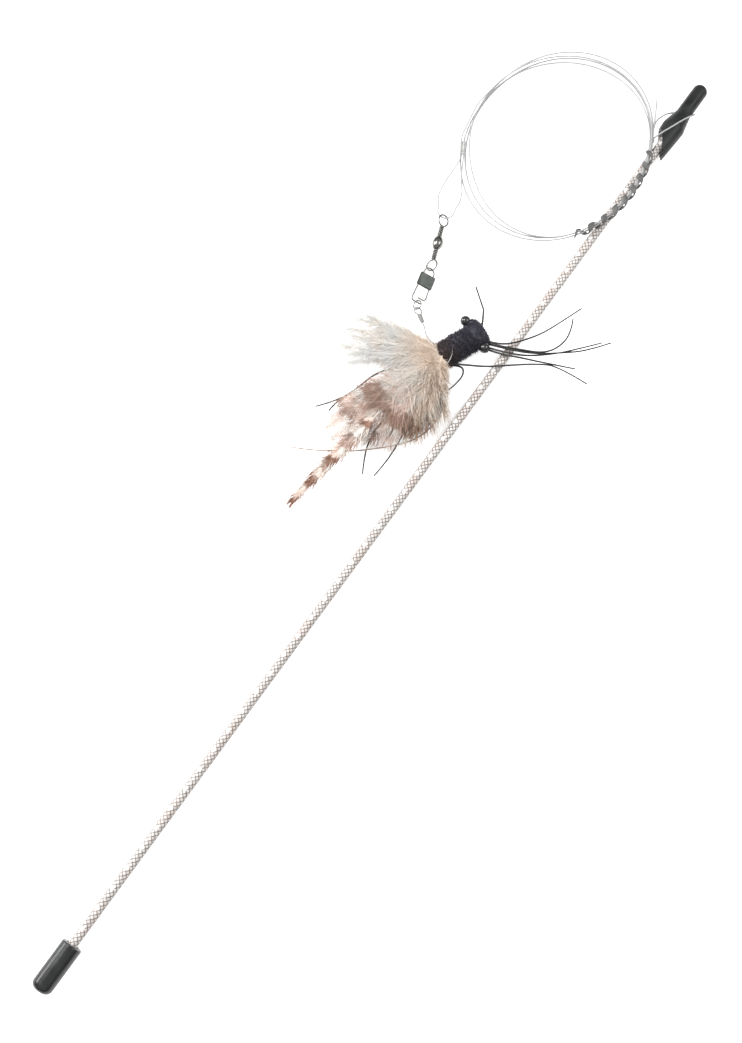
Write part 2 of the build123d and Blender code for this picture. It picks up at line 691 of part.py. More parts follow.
def lure_link():
    ring = wire_ring(link_plane(), LINK_EYE_RADIUS, RING_WIRE_DIAMETER)
    start = link_plane().from_local_coords(Vector(LINK_EYE_RADIUS, 0, 0))
    straight = LINK_EYE_RADIUS + RING_WIRE_DIAMETER / 2 + LINK_SLEEVE_CLEARANCE + LINK_SLEEVE_LENGTH + LINK_LEAD
    turn = link_plane().from_local_coords(Vector(straight, 0, 0))
    points = [tuple(start), tuple(turn)] + LINK_BENDS + [tuple(link_seat())]
    return ring + tube(route(points, "lure link"), RING_WIRE_DIAMETER)


def link_sleeve():
    start = LINK_EYE_RADIUS + RING_WIRE_DIAMETER / 2 + LINK_SLEEVE_CLEARANCE
    end = start + LINK_SLEEVE_LENGTH
    bore = RING_WIRE_DIAMETER / 2 + LINK_SLEEVE_CLEARANCE
    cone = spun([(start, bore), (start, LINK_SLEEVE_WIDE / 2), (end, LINK_SLEEVE_NARROW / 2), (end, bore)])
    return link_plane().location * cone


# Lure body on its shank: x to the head, y to the left, z up
def lure_plane():
    return rolled_plane(LURE_ORIGIN, LURE_HEADING, 0)


def head_start():
    return NECK_CORE_LENGTH + HEAD_GAP


def head_front():
    return head_start() + HEAD_LENGTH


def shank():
    return lure_plane().location * along_x(0, head_front() - HEAD_ROUND, SHANK_DIAMETER)


def shank_bore():
    return along_x(-OVERRUN, head_front() - HEAD_ROUND, SHANK_DIAMETER + 2 * SHANK_CLEARANCE)


def neck_core():
    core = along_x(0, NECK_CORE_LENGTH, NECK_CORE_DIAMETER)
    flange = along_x(0, FLANGE_LENGTH, FLANGE_DIAMETER)
    return lure_plane().location * (core + flange - shank_bore())


def neck_winding():
    radius = NECK_CORE_DIAMETER / 2 + CHENILLE_CORE_GAP + CHENILLE_DIAMETER / 2
    start = FLANGE_LENGTH + CHENILLE_DIAMETER / 2 + CHENILLE_CORE_GAP
    axis = Line((start, 0, 0), (start + CHENILLE_PITCH * CHENILLE_TURNS, 0, 0))
    path = helix_path(Wire([axis]), UP, radius, CHENILLE_TURNS, CHENILLE_END_SHARE * CHENILLE_DIAMETER)
    print("neck winding least gap", round(least_gap(path, CHENILLE_DIAMETER, WINDING_SAMPLES, 2 * radius), 2))
    return lure_plane().location * tube(path, CHENILLE_DIAMETER)


def eye_bar_station():
    return head_front() - EYE_BAR_SETBACK


def bead_centre(side):
    return Vector(eye_bar_station(), side * (HEAD_DIAMETER / 2 + EYE_BEAD_GAP + EYE_BEAD_DIAMETER / 2), 0)


def across_bar(diameter, half_length):
    bar = Plane.XZ * Circle(diameter / 2)
    return Pos(eye_bar_station(), 0, SHANK_DIAMETER + EYE_BAR_DIAMETER) * extrude(bar, amount=half_length, both=True)


def head_dome():
    dome = along_x(head_start(), head_front(), HEAD_DIAMETER)
    dome = fillet(dome.edges().filter_by(GeomType.CIRCLE).sort_by(Axis.X)[-1], HEAD_ROUND)
    hole = across_bar(EYE_BAR_DIAMETER + 2 * EYE_BAR_CLEARANCE, HEAD_DIAMETER)
    return lure_plane().location * (dome - shank_bore() - hole)


def bead_lift():
    return SHANK_DIAMETER + EYE_BAR_DIAMETER


def eye_bar():
    reach = HEAD_DIAMETER / 2 + EYE_BEAD_GAP + EYE_BEAD_DIAMETER / 2
    return lure_plane().location * across_bar(EYE_BAR_DIAMETER, reach)


def eye_beads():
    hole = across_bar(EYE_BAR_DIAMETER + 2 * EYE_BAR_CLEARANCE, HEAD_DIAMETER)
    beads = []
    for side in (-1, 1):
        place = Pos(bead_centre(side) + Vector(0, 0, bead_lift()))
        beads.append(lure_plane().location * (place * Sphere(EYE_BEAD_DIAMETER / 2) - hole))
    return Compound(children=beads)


# Bristles
def whisker_points(shares):
    """A whisker from the flat front of the head, then along shares of its reach."""
    across, up = shares[0]
    start = Vector(head_front() + BRISTLE_SEAT_GAP, across * WHISKER_REACH, up * WHISKER_REACH)
    points = [start, start + Vector(BRISTLE_LEAD, 0, 0)]
    for ahead, aside, rise in shares[1:]:
        points.append(Vector(head_front(), 0, 0) + Vector(ahead, aside, rise) * WHISKER_REACH)
    return points


def rim_points(shares):
    """A bristle that starts at the rim of the flange and follows shares of the whiskers' reach."""
    points = [Vector(*share) * WHISKER_REACH for share in shares]
    aim = Vector(0, points[0].Y, points[0].Z).normalized()
    seat = aim * (FLANGE_DIAMETER / 2 + BRISTLE_SEAT_GAP) + Vector(FLANGE_LENGTH / 2, 0, 0)
    return [seat] + points


def bristle(points, name):
    path = route([tuple(point) for point in points], name)
    return lure_plane().location * tube(path, BRISTLE_DIAMETER)


def whiskers():
    strands = [bristle(whisker_points(shares), "whisker") for shares in WHISKER_SHARES]
    strands.append(bristle(rim_points(SIDE_WHISKER_SHARES), "side whisker"))
    return Compound(children=strands)


def antenna():
    return bristle(whisker_points(ANTENNA_SHARES), "antenna")


# Feathers: x runs from the root to the tip, bending down with the droop
def level_height(level):
    return LEVEL_LOW + LEVEL_STEP * level


def level_pitch(level):
    return LEVEL_PITCH_ANGLE + LEVEL_STEP_ANGLE * level


def feather_plane(turn, level, pitch, root_half):
    """Where a feather starts: behind the flange, turned from straight back, at its level."""
    aside = ROOT_SPREAD * math.sin(math.radians(turn))
    back = ROOT_GAP + root_half * abs(math.sin(math.radians(turn)))
    root = lure_plane().from_local_coords(Vector(-back, -aside, level_height(level)))
    return rolled_plane(root, LURE_HEADING + 180 + turn, 0, pitch)


def drooped(length, lift):
    """A point on the drooping line of a feather, by the length along it."""
    bend = length / FEATHER_DROOP_RADIUS
    radius = FEATHER_DROOP_RADIUS + lift
    return radius * math.sin(bend), radius * math.cos(bend) - FEATHER_DROOP_RADIUS


def drooped_arc(start, end, lift):
    spots = [drooped(length, lift) for length in (start, (start + end) / 2, end)]
    return ThreePointArc(*[(x, 0, z) for x, z in spots])


def vane(start, length, width):
    """A leaf-shaped thin plate that bends with the droop."""
    tip = start + length
    root_half = FEATHER_ROOT_WIDTH / 2
    tip_half = FEATHER_TIP_WIDTH / 2
    belly = start + length * FEATHER_BELLY_SHARE
    shoulder = start + length * FEATHER_TIP_SHARE
    outline = make_face([
        ThreePointArc((start, -root_half), (belly, -width / 2), (shoulder, -tip_half)),
        ThreePointArc((shoulder, -tip_half), (tip, 0), (shoulder, tip_half)),
        ThreePointArc((shoulder, tip_half), (belly, width / 2), (start, root_half)),
        Line((start, root_half), (start, -root_half)),
    ])
    top = drooped_arc(start - OVERRUN, tip + OVERRUN, FEATHER_THICKNESS / 2)
    under = drooped_arc(start - OVERRUN, tip + OVERRUN, -FEATHER_THICKNESS / 2)
    ends = [Line(top @ 0, under @ 0), Line(top @ 1, under @ 1)]
    sheet = extrude(make_face([top, under] + ends), amount=width, both=True)
    return extrude(outline, amount=FEATHER_LENGTH, both=True) & sheet


def feather(turn, level, length_share, width_share):
    plane = feather_plane(turn, level, level_pitch(level), FEATHER_ROOT_WIDTH / 2)
    return plane.location * vane(0, length_share * FEATHER_LENGTH, width_share * FEATHER_WIDTH)


def feather_group(shares):
    return Compound(children=[feather(*row) for row in shares])


def quill(turn, level, length):
    path = drooped_arc(0, length, 0)
    plane = feather_plane(turn, level, level_pitch(level), BRISTLE_DIAMETER / 2)
    return plane.location * tube(path, BRISTLE_DIAMETER)


def legs():
    strands = [quill(turn, level, share * FEATHER_LENGTH) for turn, level, share in LEG_SHARES]
    strands.append(bristle(rim_points(SIDE_LEG_SHARES), "side leg"))
    strands.append(bristle(rim_points(SWEPT_LEG_SHARES), "swept leg"))
    return Compound(children=strands)


def tail_feather():
    plane = feather_plane(TAIL_TURN_ANGLE, TAIL_LEVEL_SHARE, TAIL_PITCH_ANGLE, BRISTLE_DIAMETER / 2)
    shaft = tube(drooped_arc(0, TAIL_QUILL_LENGTH + TAIL_VANE_LENGTH / 2, 0), BRISTLE_DIAMETER)
    return plane.location * (shaft + vane(TAIL_QUILL_LENGTH, TAIL_VANE_LENGTH, TAIL_VANE_WIDTH))


NODES = {
    "rod_tube": rod_tube,
    "pattern_film": pattern_film,
    "handle_cap": handle_cap,
    "tip_cap": tip_cap,
    "line_knot": line_knot,
    "line_hitch": line_hitch,
    "line_tag_end": line_tag_end,
    "line_coil": line_coil,
    "line_drop": line_drop,
    "crimp_sleeve": crimp_sleeve,
    "twist_tie": twist_tie,
    "upper_eye": upper_eye,
    "swivel_barrel": swivel_barrel,
    "lower_eye": lower_eye,
    "snap_frame": snap_frame,
    "snap_plate": snap_plate,
    "snap_gate": snap_gate,
    "lure_ring": lure_ring,
    "lure_link": lure_link,
    "link_sleeve": link_sleeve,
    "shank": shank,
    "neck_core": neck_core,
    "neck_winding": neck_winding,
    "head_dome": head_dome,
    "eye_bar": eye_bar,
    "eye_beads": eye_beads,
    "antenna": antenna,
    "whiskers": whiskers,
    "legs": legs,
    "cream_feathers": lambda: feather_group(CREAM_SHARES),
    "barred_feathers": lambda: feather_group(BARRED_SHARES),
    "tan_feathers": lambda: feather_group(TAN_SHARES),
    "tail_feather": tail_feather,
}

os.makedirs("parts", exist_ok=True)
for node, build in NODES.items():
    export_step(build(), os.path.join("parts", node + ".step"))

# Joint axes, for the behaviour of the part
print("line swing at", swivel_plane().from_local_coords(Vector(-LINE_IN_EYE, 0, 0)), "axis", swivel_plane().y_dir)
print("swivel axis at", swivel_plane().from_local_coords(Vector(barrel_station(), 0, 0)), "axis", swivel_plane().x_dir)
eye_bottom = swivel_plane().from_local_coords(Vector(lower_eye_station() + EYE_RADIUS, 0, 0))
print("snap swing at", eye_bottom, "axis", rolled_plane(eye_bottom, SWIVEL_HEADING, LOWER_EYE_ROLL).y_dir)
print("gate at", snap_plane().from_local_coords(gate_root()), "axis", snap_plane().z_dir)
print("ring swing at", foot_middle(), "axis", snap_plane().y_dir)
ring_far_side = ring_centre() + heading_vector(RING_HEADING) * RING_RADIUS
print("lure swing at", ring_far_side, "axis", rolled_plane(ring_far_side, RING_HEADING, RING_ROLL).y_dir)
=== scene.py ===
"""Dresses the cat teaser wand: clear patterned rod, soft caps, coiled line, snap swivel and feather lure."""
import math
from functools import partial

import bmesh
import bpy
from bpy.props import FloatProperty, FloatVectorProperty, IntProperty, PointerProperty
from mathutils import Matrix, Vector


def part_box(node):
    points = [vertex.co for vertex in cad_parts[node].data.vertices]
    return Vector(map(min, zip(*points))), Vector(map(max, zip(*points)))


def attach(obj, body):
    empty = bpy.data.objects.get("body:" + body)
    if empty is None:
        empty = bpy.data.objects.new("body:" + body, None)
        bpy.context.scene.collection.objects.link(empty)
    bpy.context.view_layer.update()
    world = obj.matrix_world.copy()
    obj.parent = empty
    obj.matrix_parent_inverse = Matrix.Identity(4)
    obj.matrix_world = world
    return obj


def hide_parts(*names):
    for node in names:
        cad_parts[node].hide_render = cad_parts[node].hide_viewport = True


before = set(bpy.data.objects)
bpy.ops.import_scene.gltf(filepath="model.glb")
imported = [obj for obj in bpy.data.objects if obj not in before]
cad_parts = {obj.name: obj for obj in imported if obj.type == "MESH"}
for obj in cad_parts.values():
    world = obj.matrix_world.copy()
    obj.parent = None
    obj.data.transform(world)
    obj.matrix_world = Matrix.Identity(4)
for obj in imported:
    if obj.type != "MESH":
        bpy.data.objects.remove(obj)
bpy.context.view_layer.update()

bl_info = {
    "name": "Cat Teaser Wand",
    "version": (1, 0, 0),
    "blender": (4, 5, 0),
    "location": "3D View > Sidebar > Teaser Wand",
    "description": "Builds the finishes, line, tie, head and feathers of a cat teaser wand",
    "category": "Object",
}

MM = 0.001

# Camera, fitted to the photograph's 742 by 1043 frame
PHOTO_HEIGHT_PX = 1043
FOCAL_PX = 1400
SENSOR = 36.0
CAMERA_AZIMUTH = -54.3804
CAMERA_ELEVATION = 76.264
CAMERA_AIM = Vector((216.391, 4.177, 0)) * MM
CAMERA_DISTANCE = 559.113 * MM

# Floor, line and coil
FLOOR_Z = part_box("tip_cap")[0].z
LINE_RADIUS = 0.33 * MM
COIL_CENTRE_X = 396.0 * MM
COIL_CENTRE_Y = 37.0 * MM
COIL_RADIUS = 42.2 * MM
COIL_OVAL = 3.6 * MM
COIL_OVAL_LEAN = 5.0
COIL_EGG = 1.2 * MM
COIL_FLOOR = -4.65 * MM
STRAND_SPACING = 1.06 * MM
LOOP_FAN = 2.6 * MM
RIGHT_FAN_SHARES = [0.35, -1.0, 0.95, -0.15]
LEFT_FAN_SHARES = [-1.0, -0.2, -2.1, 0.8]
COIL_LAPS = 3
COIL_POINTS_PER_TURN = 30
KNOT_SIZE = 0.36 * MM
KNOT_STEPS = 27
KNOT_RISE = 1.3
HITCH_LIFT = 0.5 * MM
KNOT_SPAN = 6.0
KNOT_DROP = 2.5 * MM
TIE_FROM = -136.0
TIE_TO = -58.0
FREE_SPAN = 360.0 - (TIE_TO - TIE_FROM)
BUNDLE_HEIGHT = 5.092 * MM
COIL_LEAD = 6.0 * MM

# The line's route after the coil, in millimetres
LEAD_ROUTE = [(390.0, 74.4, -1.6), (384.4, 73.2, -1.75)]
DROP_ROUTE = [(362.6, 66.0, -2.2), (357.0, 65.8, -2.5), (351.8, 65.1, -2.6), (348.6, 63.9, -2.6)]
RETURN_ROUTE = [(351.8, 54.9, -2.4), (356.8, 57.0, -2.0), (359.6, 59.6, -1.7), (364.2, 62.5, -1.7)]
HITCH_ROUTE = [
    (424.4, 2.2, 6.0), (427.4, 0.8, 6.4), (430.9, -0.6, 6.4), (434.4, -1.8, 5.9), (438.2, -3.1, 4.8),
    (441.6, -4.2, 2.8), (443.6, -4.2, 0.6), (444.4, -3.2, -2.0), (444.2, -0.4, -3.9), (442.6, 2.8, -3.8),
    (439.8, 5.2, -2.2), (436.2, 6.6, -0.2), (432.0, 7.4, 1.4), (428.2, 7.2, 2.4),
]
TAG_ROUTE = [(426.6, 6.4, 3.6), (430.0, 8.2, 4.2), (434.0, 10.3, 4.6), (438.6, 13.0, 5.2)]
SLEEVE_CENTRE = Vector((373.6, 68.6, -1.95)) * MM
SLEEVE_HEADING = 211.0
SLEEVE_HALF = 3.0 * MM
SLEEVE_BORE_OFFSET = 0.65 * MM
SLEEVE_LEAD = 3.0 * MM
SLEEVE_TAIL = 1.0 * MM
EYE_CENTRE = Vector((341.4, 56.0, -2.6)) * MM
SWIVEL_HEADING = 201.5
BIGHT_RADIUS = 3.5 * MM
BIGHT_INSIDE_EYE = 1.3 * MM
BIGHT_SHARES = [(-0.42, -1.0), (0.42, -1.0), (1.0, -0.42), (1.0, 0.42), (0.42, 1.0), (-0.42, 1.0)]

# Lure axis: x to the head, y to its left, z up
LURE_ORIGIN = Vector((290.2, 21.0, 0.6)) * MM
LURE_HEADING = -21.7
HEAD_START = 13.95 * MM
HEAD_FRONT = 19.75 * MM
FEATHER_ROOT = Vector((290.4, 20.6, 1.0))


def heading_vector(degrees):
    """The level unit vector along a heading."""
    return Vector((math.cos(math.radians(degrees)), math.sin(math.radians(degrees)), 0))


def scaled(points):
    return [Vector(point) * MM for point in points]


def lure_matrix():
    """From the lure's own axes to the frame."""
    return Matrix.Translation(LURE_ORIGIN) @ Matrix.Rotation(math.radians(LURE_HEADING), 4, "Z")


# Sizes and colours that a user would change
class WandSizes(bpy.types.PropertyGroup):
    tie_width: FloatProperty(
        name="Tie Width", description="Width of the flat twist tie", default=2.7 * MM, unit="LENGTH")
    tie_turns: IntProperty(name="Tie Turns", description="Turns of the tie round the line", default=9, min=2)
    pile_length: FloatProperty(
        name="Pile Length", description="Length of the fibres on the neck", default=1.7 * MM, unit="LENGTH")
    pile_density: FloatProperty(
        name="Pile Density", description="Fibres on each square metre of the neck", default=9e6)
    barbs: IntProperty(
        name="Barbs", description="Barbs on each side of a feather's shaft", default=250, min=20)
    barb_thickness: FloatProperty(
        name="Barb Thickness", description="Thickness of a barb as a share of its length", default=0.015)
    bristle_radius: FloatProperty(
        name="Bristle Radius", description="Radius of a bristle at its root", default=0.46 * MM,
        unit="LENGTH")


def colour(name, description, rgb):
    return FloatVectorProperty(
        name=name, description=description, subtype="COLOR", size=3, min=0, max=1, default=rgb)


class WandColours(bpy.types.PropertyGroup):
    vinyl: colour("Vinyl", "Soft black of the two caps", (0.009, 0.0095, 0.0095))
    film: colour("Film", "Ground of the rod's film", (0.8, 0.765, 0.74))
    film_lines: colour("Film Lines", "Lattice lines of the film", (0.15, 0.125, 0.11))
    film_blush: colour("Film Blush", "Pink cast of the film", (0.77, 0.68, 0.64))
    # Painted highlight: bright spots in rows on the film
    film_highlight: colour("Film Highlight", "Painted highlights on the film", (0.98, 0.97, 0.96))
    tube: colour("Tube", "Clear tube of the rod", (0.42, 0.39, 0.37))
    line: colour("Line", "Clear nylon line", (0.47, 0.475, 0.47))
    tie: colour("Tie", "Twist tie", (0.085, 0.083, 0.08))
    nickel: colour("Nickel", "Bright metal of the swivel and snap", (0.23, 0.227, 0.216))
    plate: colour("Plate", "Dark folded plate of the snap", (0.075, 0.08, 0.074))
    crimp: colour("Crimp", "Pale metal of the crimp sleeve", (0.78, 0.775, 0.76))
    wire: colour("Wire", "Dull wire inside the lure", (0.3, 0.3, 0.29))
    link: colour("Link", "Lure's link", (0.36, 0.36, 0.35))
    link_sleeve: colour("Link Sleeve", "Sleeve on the lure's link", (0.26, 0.26, 0.255))
    neck: colour("Neck", "Pile on the neck", (0.02, 0.019, 0.034))
    neck_brown: colour("Neck Brown", "Brown cast at the root of the neck", (0.055, 0.03, 0.024))
    neck_glint: colour("Neck Glint", "Grey glints on the pile", (0.2, 0.2, 0.25))
    bead: colour("Bead", "Black bead eyes", (0.008, 0.008, 0.009))
    bead_pale: colour("Bead Pale", "Lighter patches of the bead eyes", (0.02, 0.02, 0.022))
    filament: colour("Filament", "Loose filament under the feathers", (0.22, 0.15, 0.12))
    filament_pale: colour("Filament Pale", "Lighter stretches of the filament", (0.5, 0.4, 0.33))
    tinsel: colour("Tinsel", "Silver strand at the neck", (0.85, 0.84, 0.82))
    bristle: colour("Bristle", "Whiskers, antenna and legs", (0.012, 0.011, 0.011))
    cream: colour("Cream", "Pale feathers", (0.87, 0.83, 0.775))
    white: colour("White", "Palest barbs of the fan", (0.84, 0.84, 0.825))
    tan: colour("Tan", "Ground of the body feathers", (0.92, 0.79, 0.67))
    brown: colour("Brown", "Bars and streaks of the feathers", (0.3, 0.14, 0.08))
    bar: colour("Bar", "Soft brown bars of the body feathers", (0.36, 0.19, 0.12))
    blush: colour("Blush", "Pink cast of the feathers", (0.93, 0.75, 0.66))
    gold: colour("Gold", "Golden streaks of the tan feathers", (0.4, 0.25, 0.13))


def sizes():
    return bpy.context.scene.wand_sizes


def colours():
    return bpy.context.scene.wand_colours


# Node helpers, for shader and geometry trees alike
def add(tree, kind, inputs=None, **settings):
    """Adds a node, with its settings and its inputs as values or as sockets to link."""
    node = tree.nodes.new(kind)
    for name, value in settings.items():
        setattr(node, name, value)
    for key, value in (inputs or {}).items():
        if isinstance(value, bpy.types.NodeSocket):
            tree.links.new(value, node.inputs[key])
        else:
            node.inputs[key].default_value = value
    return node


def math_node(tree, operation, first, second=0.0, third=0.0):
    node = add(tree, "ShaderNodeMath", {0: first, 1: second, 2: third}, operation=operation)
    return node.outputs[0]


def vector_node(tree, operation, first, second=None, scale=None):
    inputs = {0: first}
    if second is not None:
        inputs[1] = second
    if scale is not None:
        inputs["Scale"] = scale
    return add(tree, "ShaderNodeVectorMath", inputs, operation=operation).outputs[0]


def blend_colours(tree, share, first, second):
    node = add(tree, "ShaderNodeMix", {"Factor": share}, data_type="RGBA")
    for key, value in ((6, first), (7, second)):
        if isinstance(value, bpy.types.NodeSocket):
            tree.links.new(value, node.inputs[key])
        else:
            node.inputs[key].default_value = (*value, 1.0)
    return node.outputs[2]


def remap(tree, value, low, high, to_low=0.0, to_high=1.0, smooth=False):
    node = add(tree, "ShaderNodeMapRange", {0: value, 1: low, 2: high, 3: to_low, 4: to_high})
    node.interpolation_type = "SMOOTHSTEP" if smooth else "LINEAR"
    return node.outputs[0]


def new_material(name):
    """A material with an empty Principled shader, as material, tree and shader."""
    material = bpy.data.materials.new(name)
    material.use_nodes = True
    tree = material.node_tree
    return material, tree, tree.nodes["Principled BSDF"]


def bump(tree, shader, height, distance, strength):
    node = add(tree, "ShaderNodeBump", {"Height": height, "Distance": distance, "Strength": strength})
    tree.links.new(node.outputs[0], shader.inputs["Normal"])


def new_group(name, inputs, outputs):
    """A shader group with float inputs and outputs, as group, its inputs and its outputs."""
    group = bpy.data.node_groups.new(name, "ShaderNodeTree")
    for label, default in inputs:
        socket = group.interface.new_socket(label, in_out="INPUT", socket_type="NodeSocketFloat")
        socket.default_value = default
    for label in outputs:
        group.interface.new_socket(label, in_out="OUTPUT", socket_type="NodeSocketFloat")
    return group, group.nodes.new("NodeGroupInput").outputs, group.nodes.new("NodeGroupOutput").inputs


def noise_out(group, size, detail, result):
    """Puts out a noise of a size, in Object coordinates."""
    place = add(group, "ShaderNodeTexCoord").outputs["Object"]
    scale = math_node(group, "DIVIDE", 1.0, size)
    noise = add(group, "ShaderNodeTexNoise", {"Vector": place, "Scale": scale, "Detail": detail})
    group.links.new(noise.outputs["Fac"], result)


def grain_group():
    """Fine and broad unevenness of a surface."""
    found = bpy.data.node_groups.get("surface_grain")
    if found:
        return found
    group, given, made = new_group(
        "surface_grain", [("Grain Size", 0.4 * MM), ("Patch Size", 6 * MM)], ["Grain", "Patch"])
    noise_out(group, given["Grain Size"], 3.0, made["Grain"])
    noise_out(group, given["Patch Size"], 2.0, made["Patch"])
    return group


def strand_group():
    """Tones of strands: place along the piece and chance, from their own attributes, and broad streaks."""
    found = bpy.data.node_groups.get("strand_tone")
    if found:
        return found
    group, given, made = new_group("strand_tone", [("Streak Size", 1 * MM)], ["Along", "Chance", "Streak"])
    for name, result in (("along", "Along"), ("chance", "Chance")):
        reader = add(group, "ShaderNodeAttribute", attribute_name=name)
        group.links.new(reader.outputs["Fac"], made[result])
    noise_out(group, given["Streak Size"], 2.0, made["Streak"])
    return group


def place_group(tree, group, **inputs):
    node = tree.nodes.new("ShaderNodeGroup")
    node.node_tree = group
    for name, value in inputs.items():
        node.inputs[name.replace("_", " ")].default_value = value
    return node.outputs


# Finishes
def shaded(tone, factor):
    """A tone made lighter or darker by a factor."""
    return [channel * factor for channel in tone]


def paint(tree, shader, tone, roughness, settings=None):
    """Links a tone and a roughness to a shader, and sets its other inputs by name."""
    tree.links.new(tone, shader.inputs["Base Color"])
    tree.links.new(roughness, shader.inputs["Roughness"])
    for label, value in (settings or {}).items():
        shader.inputs[label].default_value = value


def uneven_finish(name, tones, patches, roughness, grains, relief=None, gloss_from="Grain", settings=None):
    """Two tones in patches and an uneven gloss, with the grain as relief where that is given."""
    material, tree, shader = new_material(name)
    grain = place_group(tree, grain_group(), Grain_Size=grains[0], Patch_Size=grains[1])
    tone = blend_colours(tree, remap(tree, grain["Patch"], *patches), *tones)
    paint(tree, shader, tone, remap(tree, grain[gloss_from], 0.3, 0.7, *roughness), settings)
    if relief:
        bump(tree, shader, grain["Grain"], *relief)
    return material


def vinyl_finish(name, roughness, gloss):
    vinyl = colours().vinyl
    return uneven_finish(
        name, (vinyl, shaded(vinyl, 2.4)), (0.35, 0.7), (roughness * 0.8, roughness * 1.25),
        (0.5 * MM, 7 * MM), (0.05 * MM, 0.35), "Patch", {"Specular IOR Level": gloss})


def metal_finish(name, tint, roughness):
    return uneven_finish(
        name, (tint, shaded(tint, 0.72)), (0.35, 0.65), (roughness * 0.7, roughness * 1.4),
        (0.35 * MM, 3 * MM), (0.02 * MM, 0.25), settings={"Metallic": 1.0})


def tie_finish():
    tie = colours().tie
    return uneven_finish(
        "tie_plastic", (tie, shaded(tie, 1.9)), (0.4, 0.65), (0.42, 0.6), (0.4 * MM, 4 * MM),
        (0.05 * MM, 0.4))


def bead_finish():
    return uneven_finish(
        "bead_black", (colours().bead, colours().bead_pale), (0.0, 1.0), (0.05, 0.12), (1.0 * MM, 3 * MM),
        settings={"Coat Weight": 0.5})


def bristle_finish():
    bristle = colours().bristle
    return uneven_finish(
        "bristle_black", (bristle, shaded(bristle, 4.0)), (0.45, 0.75), (0.3, 0.5), (0.8 * MM, 10 * MM))


def filament_finish():
    return uneven_finish(
        "filament_tan", (colours().filament, colours().filament_pale), (0.35, 0.65), (0.4, 0.6),
        (0.8 * MM, 7 * MM))


def around_and_along(tree):
    """The angle round the rod in turns and the length along it in metres, from Object coordinates."""
    place = add(tree, "ShaderNodeTexCoord").outputs["Object"]
    parts = add(tree, "ShaderNodeSeparateXYZ", {0: place}).outputs
    angle = math_node(tree, "ARCTAN2", parts["Y"], parts["Z"])
    return math_node(tree, "DIVIDE", angle, 2 * math.pi), parts["X"]


def lattice_lines(tree, turns, along, pitch, starts, width):
    """Two sets of crossing helical lines, 1 on a line and 0 between."""
    found = []
    for hand in (-1, 1):
        wound = math_node(tree, "MULTIPLY_ADD", turns, hand * starts, math_node(tree, "DIVIDE", along, pitch))
        wave = math_node(tree, "PINGPONG", wound, 0.5)
        found.append(remap(tree, wave, width, width * 0.35, smooth=True))
    return math_node(tree, "MAXIMUM", found[0], found[1])


# Film print: each lattice's pitch along the rod, starts round it and its lines' half width as a share
FINE_LATTICE = (1.95 * MM, 6, 0.2)
BROAD_LATTICE = (10.0 * MM, 2, 0.09)
BROAD_STRENGTH = 0.25
# Painted highlights on the film, as bright spots in rows: pitch along the rod, count round it, turn offset,
# and reach along and across
HIGHLIGHT_PITCH = 9.0 * MM
HIGHLIGHTS_ROUND = 3.0
HIGHLIGHT_TURN = 0.858
HIGHLIGHT_LENGTH_SHARE = 0.1
HIGHLIGHT_WIDTH_SHARE = 0.22


def film_highlights(tree, turns, along):
    """Rows of oval painted highlights, 1 in a highlight and 0 between."""
    row = math_node(tree, "PINGPONG", math_node(tree, "DIVIDE", along, HIGHLIGHT_PITCH), 0.5)
    turned = math_node(tree, "ADD", math_node(tree, "MULTIPLY", turns, HIGHLIGHTS_ROUND), HIGHLIGHT_TURN)
    column = math_node(tree, "PINGPONG", turned, 0.5)
    squares = []
    for offset, reach in ((row, HIGHLIGHT_LENGTH_SHARE), (column, HIGHLIGHT_WIDTH_SHARE)):
        squares.append(math_node(tree, "POWER", math_node(tree, "DIVIDE", offset, reach), 2.0))
    return remap(tree, math_node(tree, "ADD", *squares), 1.5, 0.5, smooth=True)


def film_finish():
    """Printed film: broad and fine diamond lattice and a pink cast, with painted highlights as bright spots
    in rows.
    """
    material, tree, shader = new_material("rod_film")
    tone = colours()
    turns, along = around_and_along(tree)
    fine = lattice_lines(tree, turns, along, *FINE_LATTICE)
    broad = lattice_lines(tree, turns, along, *BROAD_LATTICE)
    grain = place_group(tree, grain_group(), Grain_Size=0.7 * MM, Patch_Size=9 * MM)
    print_and_highlight_tone = blend_colours(tree, remap(tree, grain["Patch"], 0.42, 0.62), tone.film, tone.film_blush)
    fine_share = math_node(tree, "MULTIPLY", fine, remap(tree, grain["Grain"], 0.3, 0.6, 0.75, 1.0))
    for share in (fine_share, math_node(tree, "MULTIPLY", broad, BROAD_STRENGTH)):
        print_and_highlight_tone = blend_colours(tree, share, print_and_highlight_tone, tone.film_lines)
    # Painted highlights: bright spots laid over the print
    print_and_highlight_tone = blend_colours(tree, film_highlights(tree, turns, along), print_and_highlight_tone, tone.film_highlight)
    paint(tree, shader, print_and_highlight_tone, remap(tree, grain["Grain"], 0.3, 0.7, 0.22, 0.5))
    bump(tree, shader, fine, 0.04 * MM, 0.5)
    return material


def clear_finish(name, tint, middle_alpha, rim_alpha, roughness):
    """Clear plastic: open in the middle and denser towards its outline."""
    material, tree, shader = new_material(name)
    grain = place_group(tree, grain_group(), Grain_Size=1.5 * MM, Patch_Size=12 * MM)
    rim = add(tree, "ShaderNodeLayerWeight", {"Blend": 0.35}).outputs["Facing"]
    alpha = remap(tree, rim, 0.25, 1.0, middle_alpha, rim_alpha, smooth=True)
    tree.links.new(alpha, shader.inputs["Alpha"])
    paint(
        tree, shader, blend_colours(tree, grain["Patch"], tint, shaded(tint, 0.9)),
        remap(tree, grain["Grain"], 0.3, 0.7, roughness * 0.6, roughness * 1.4),
        {"IOR": 1.5, "Specular IOR Level": 0.35})
    return material


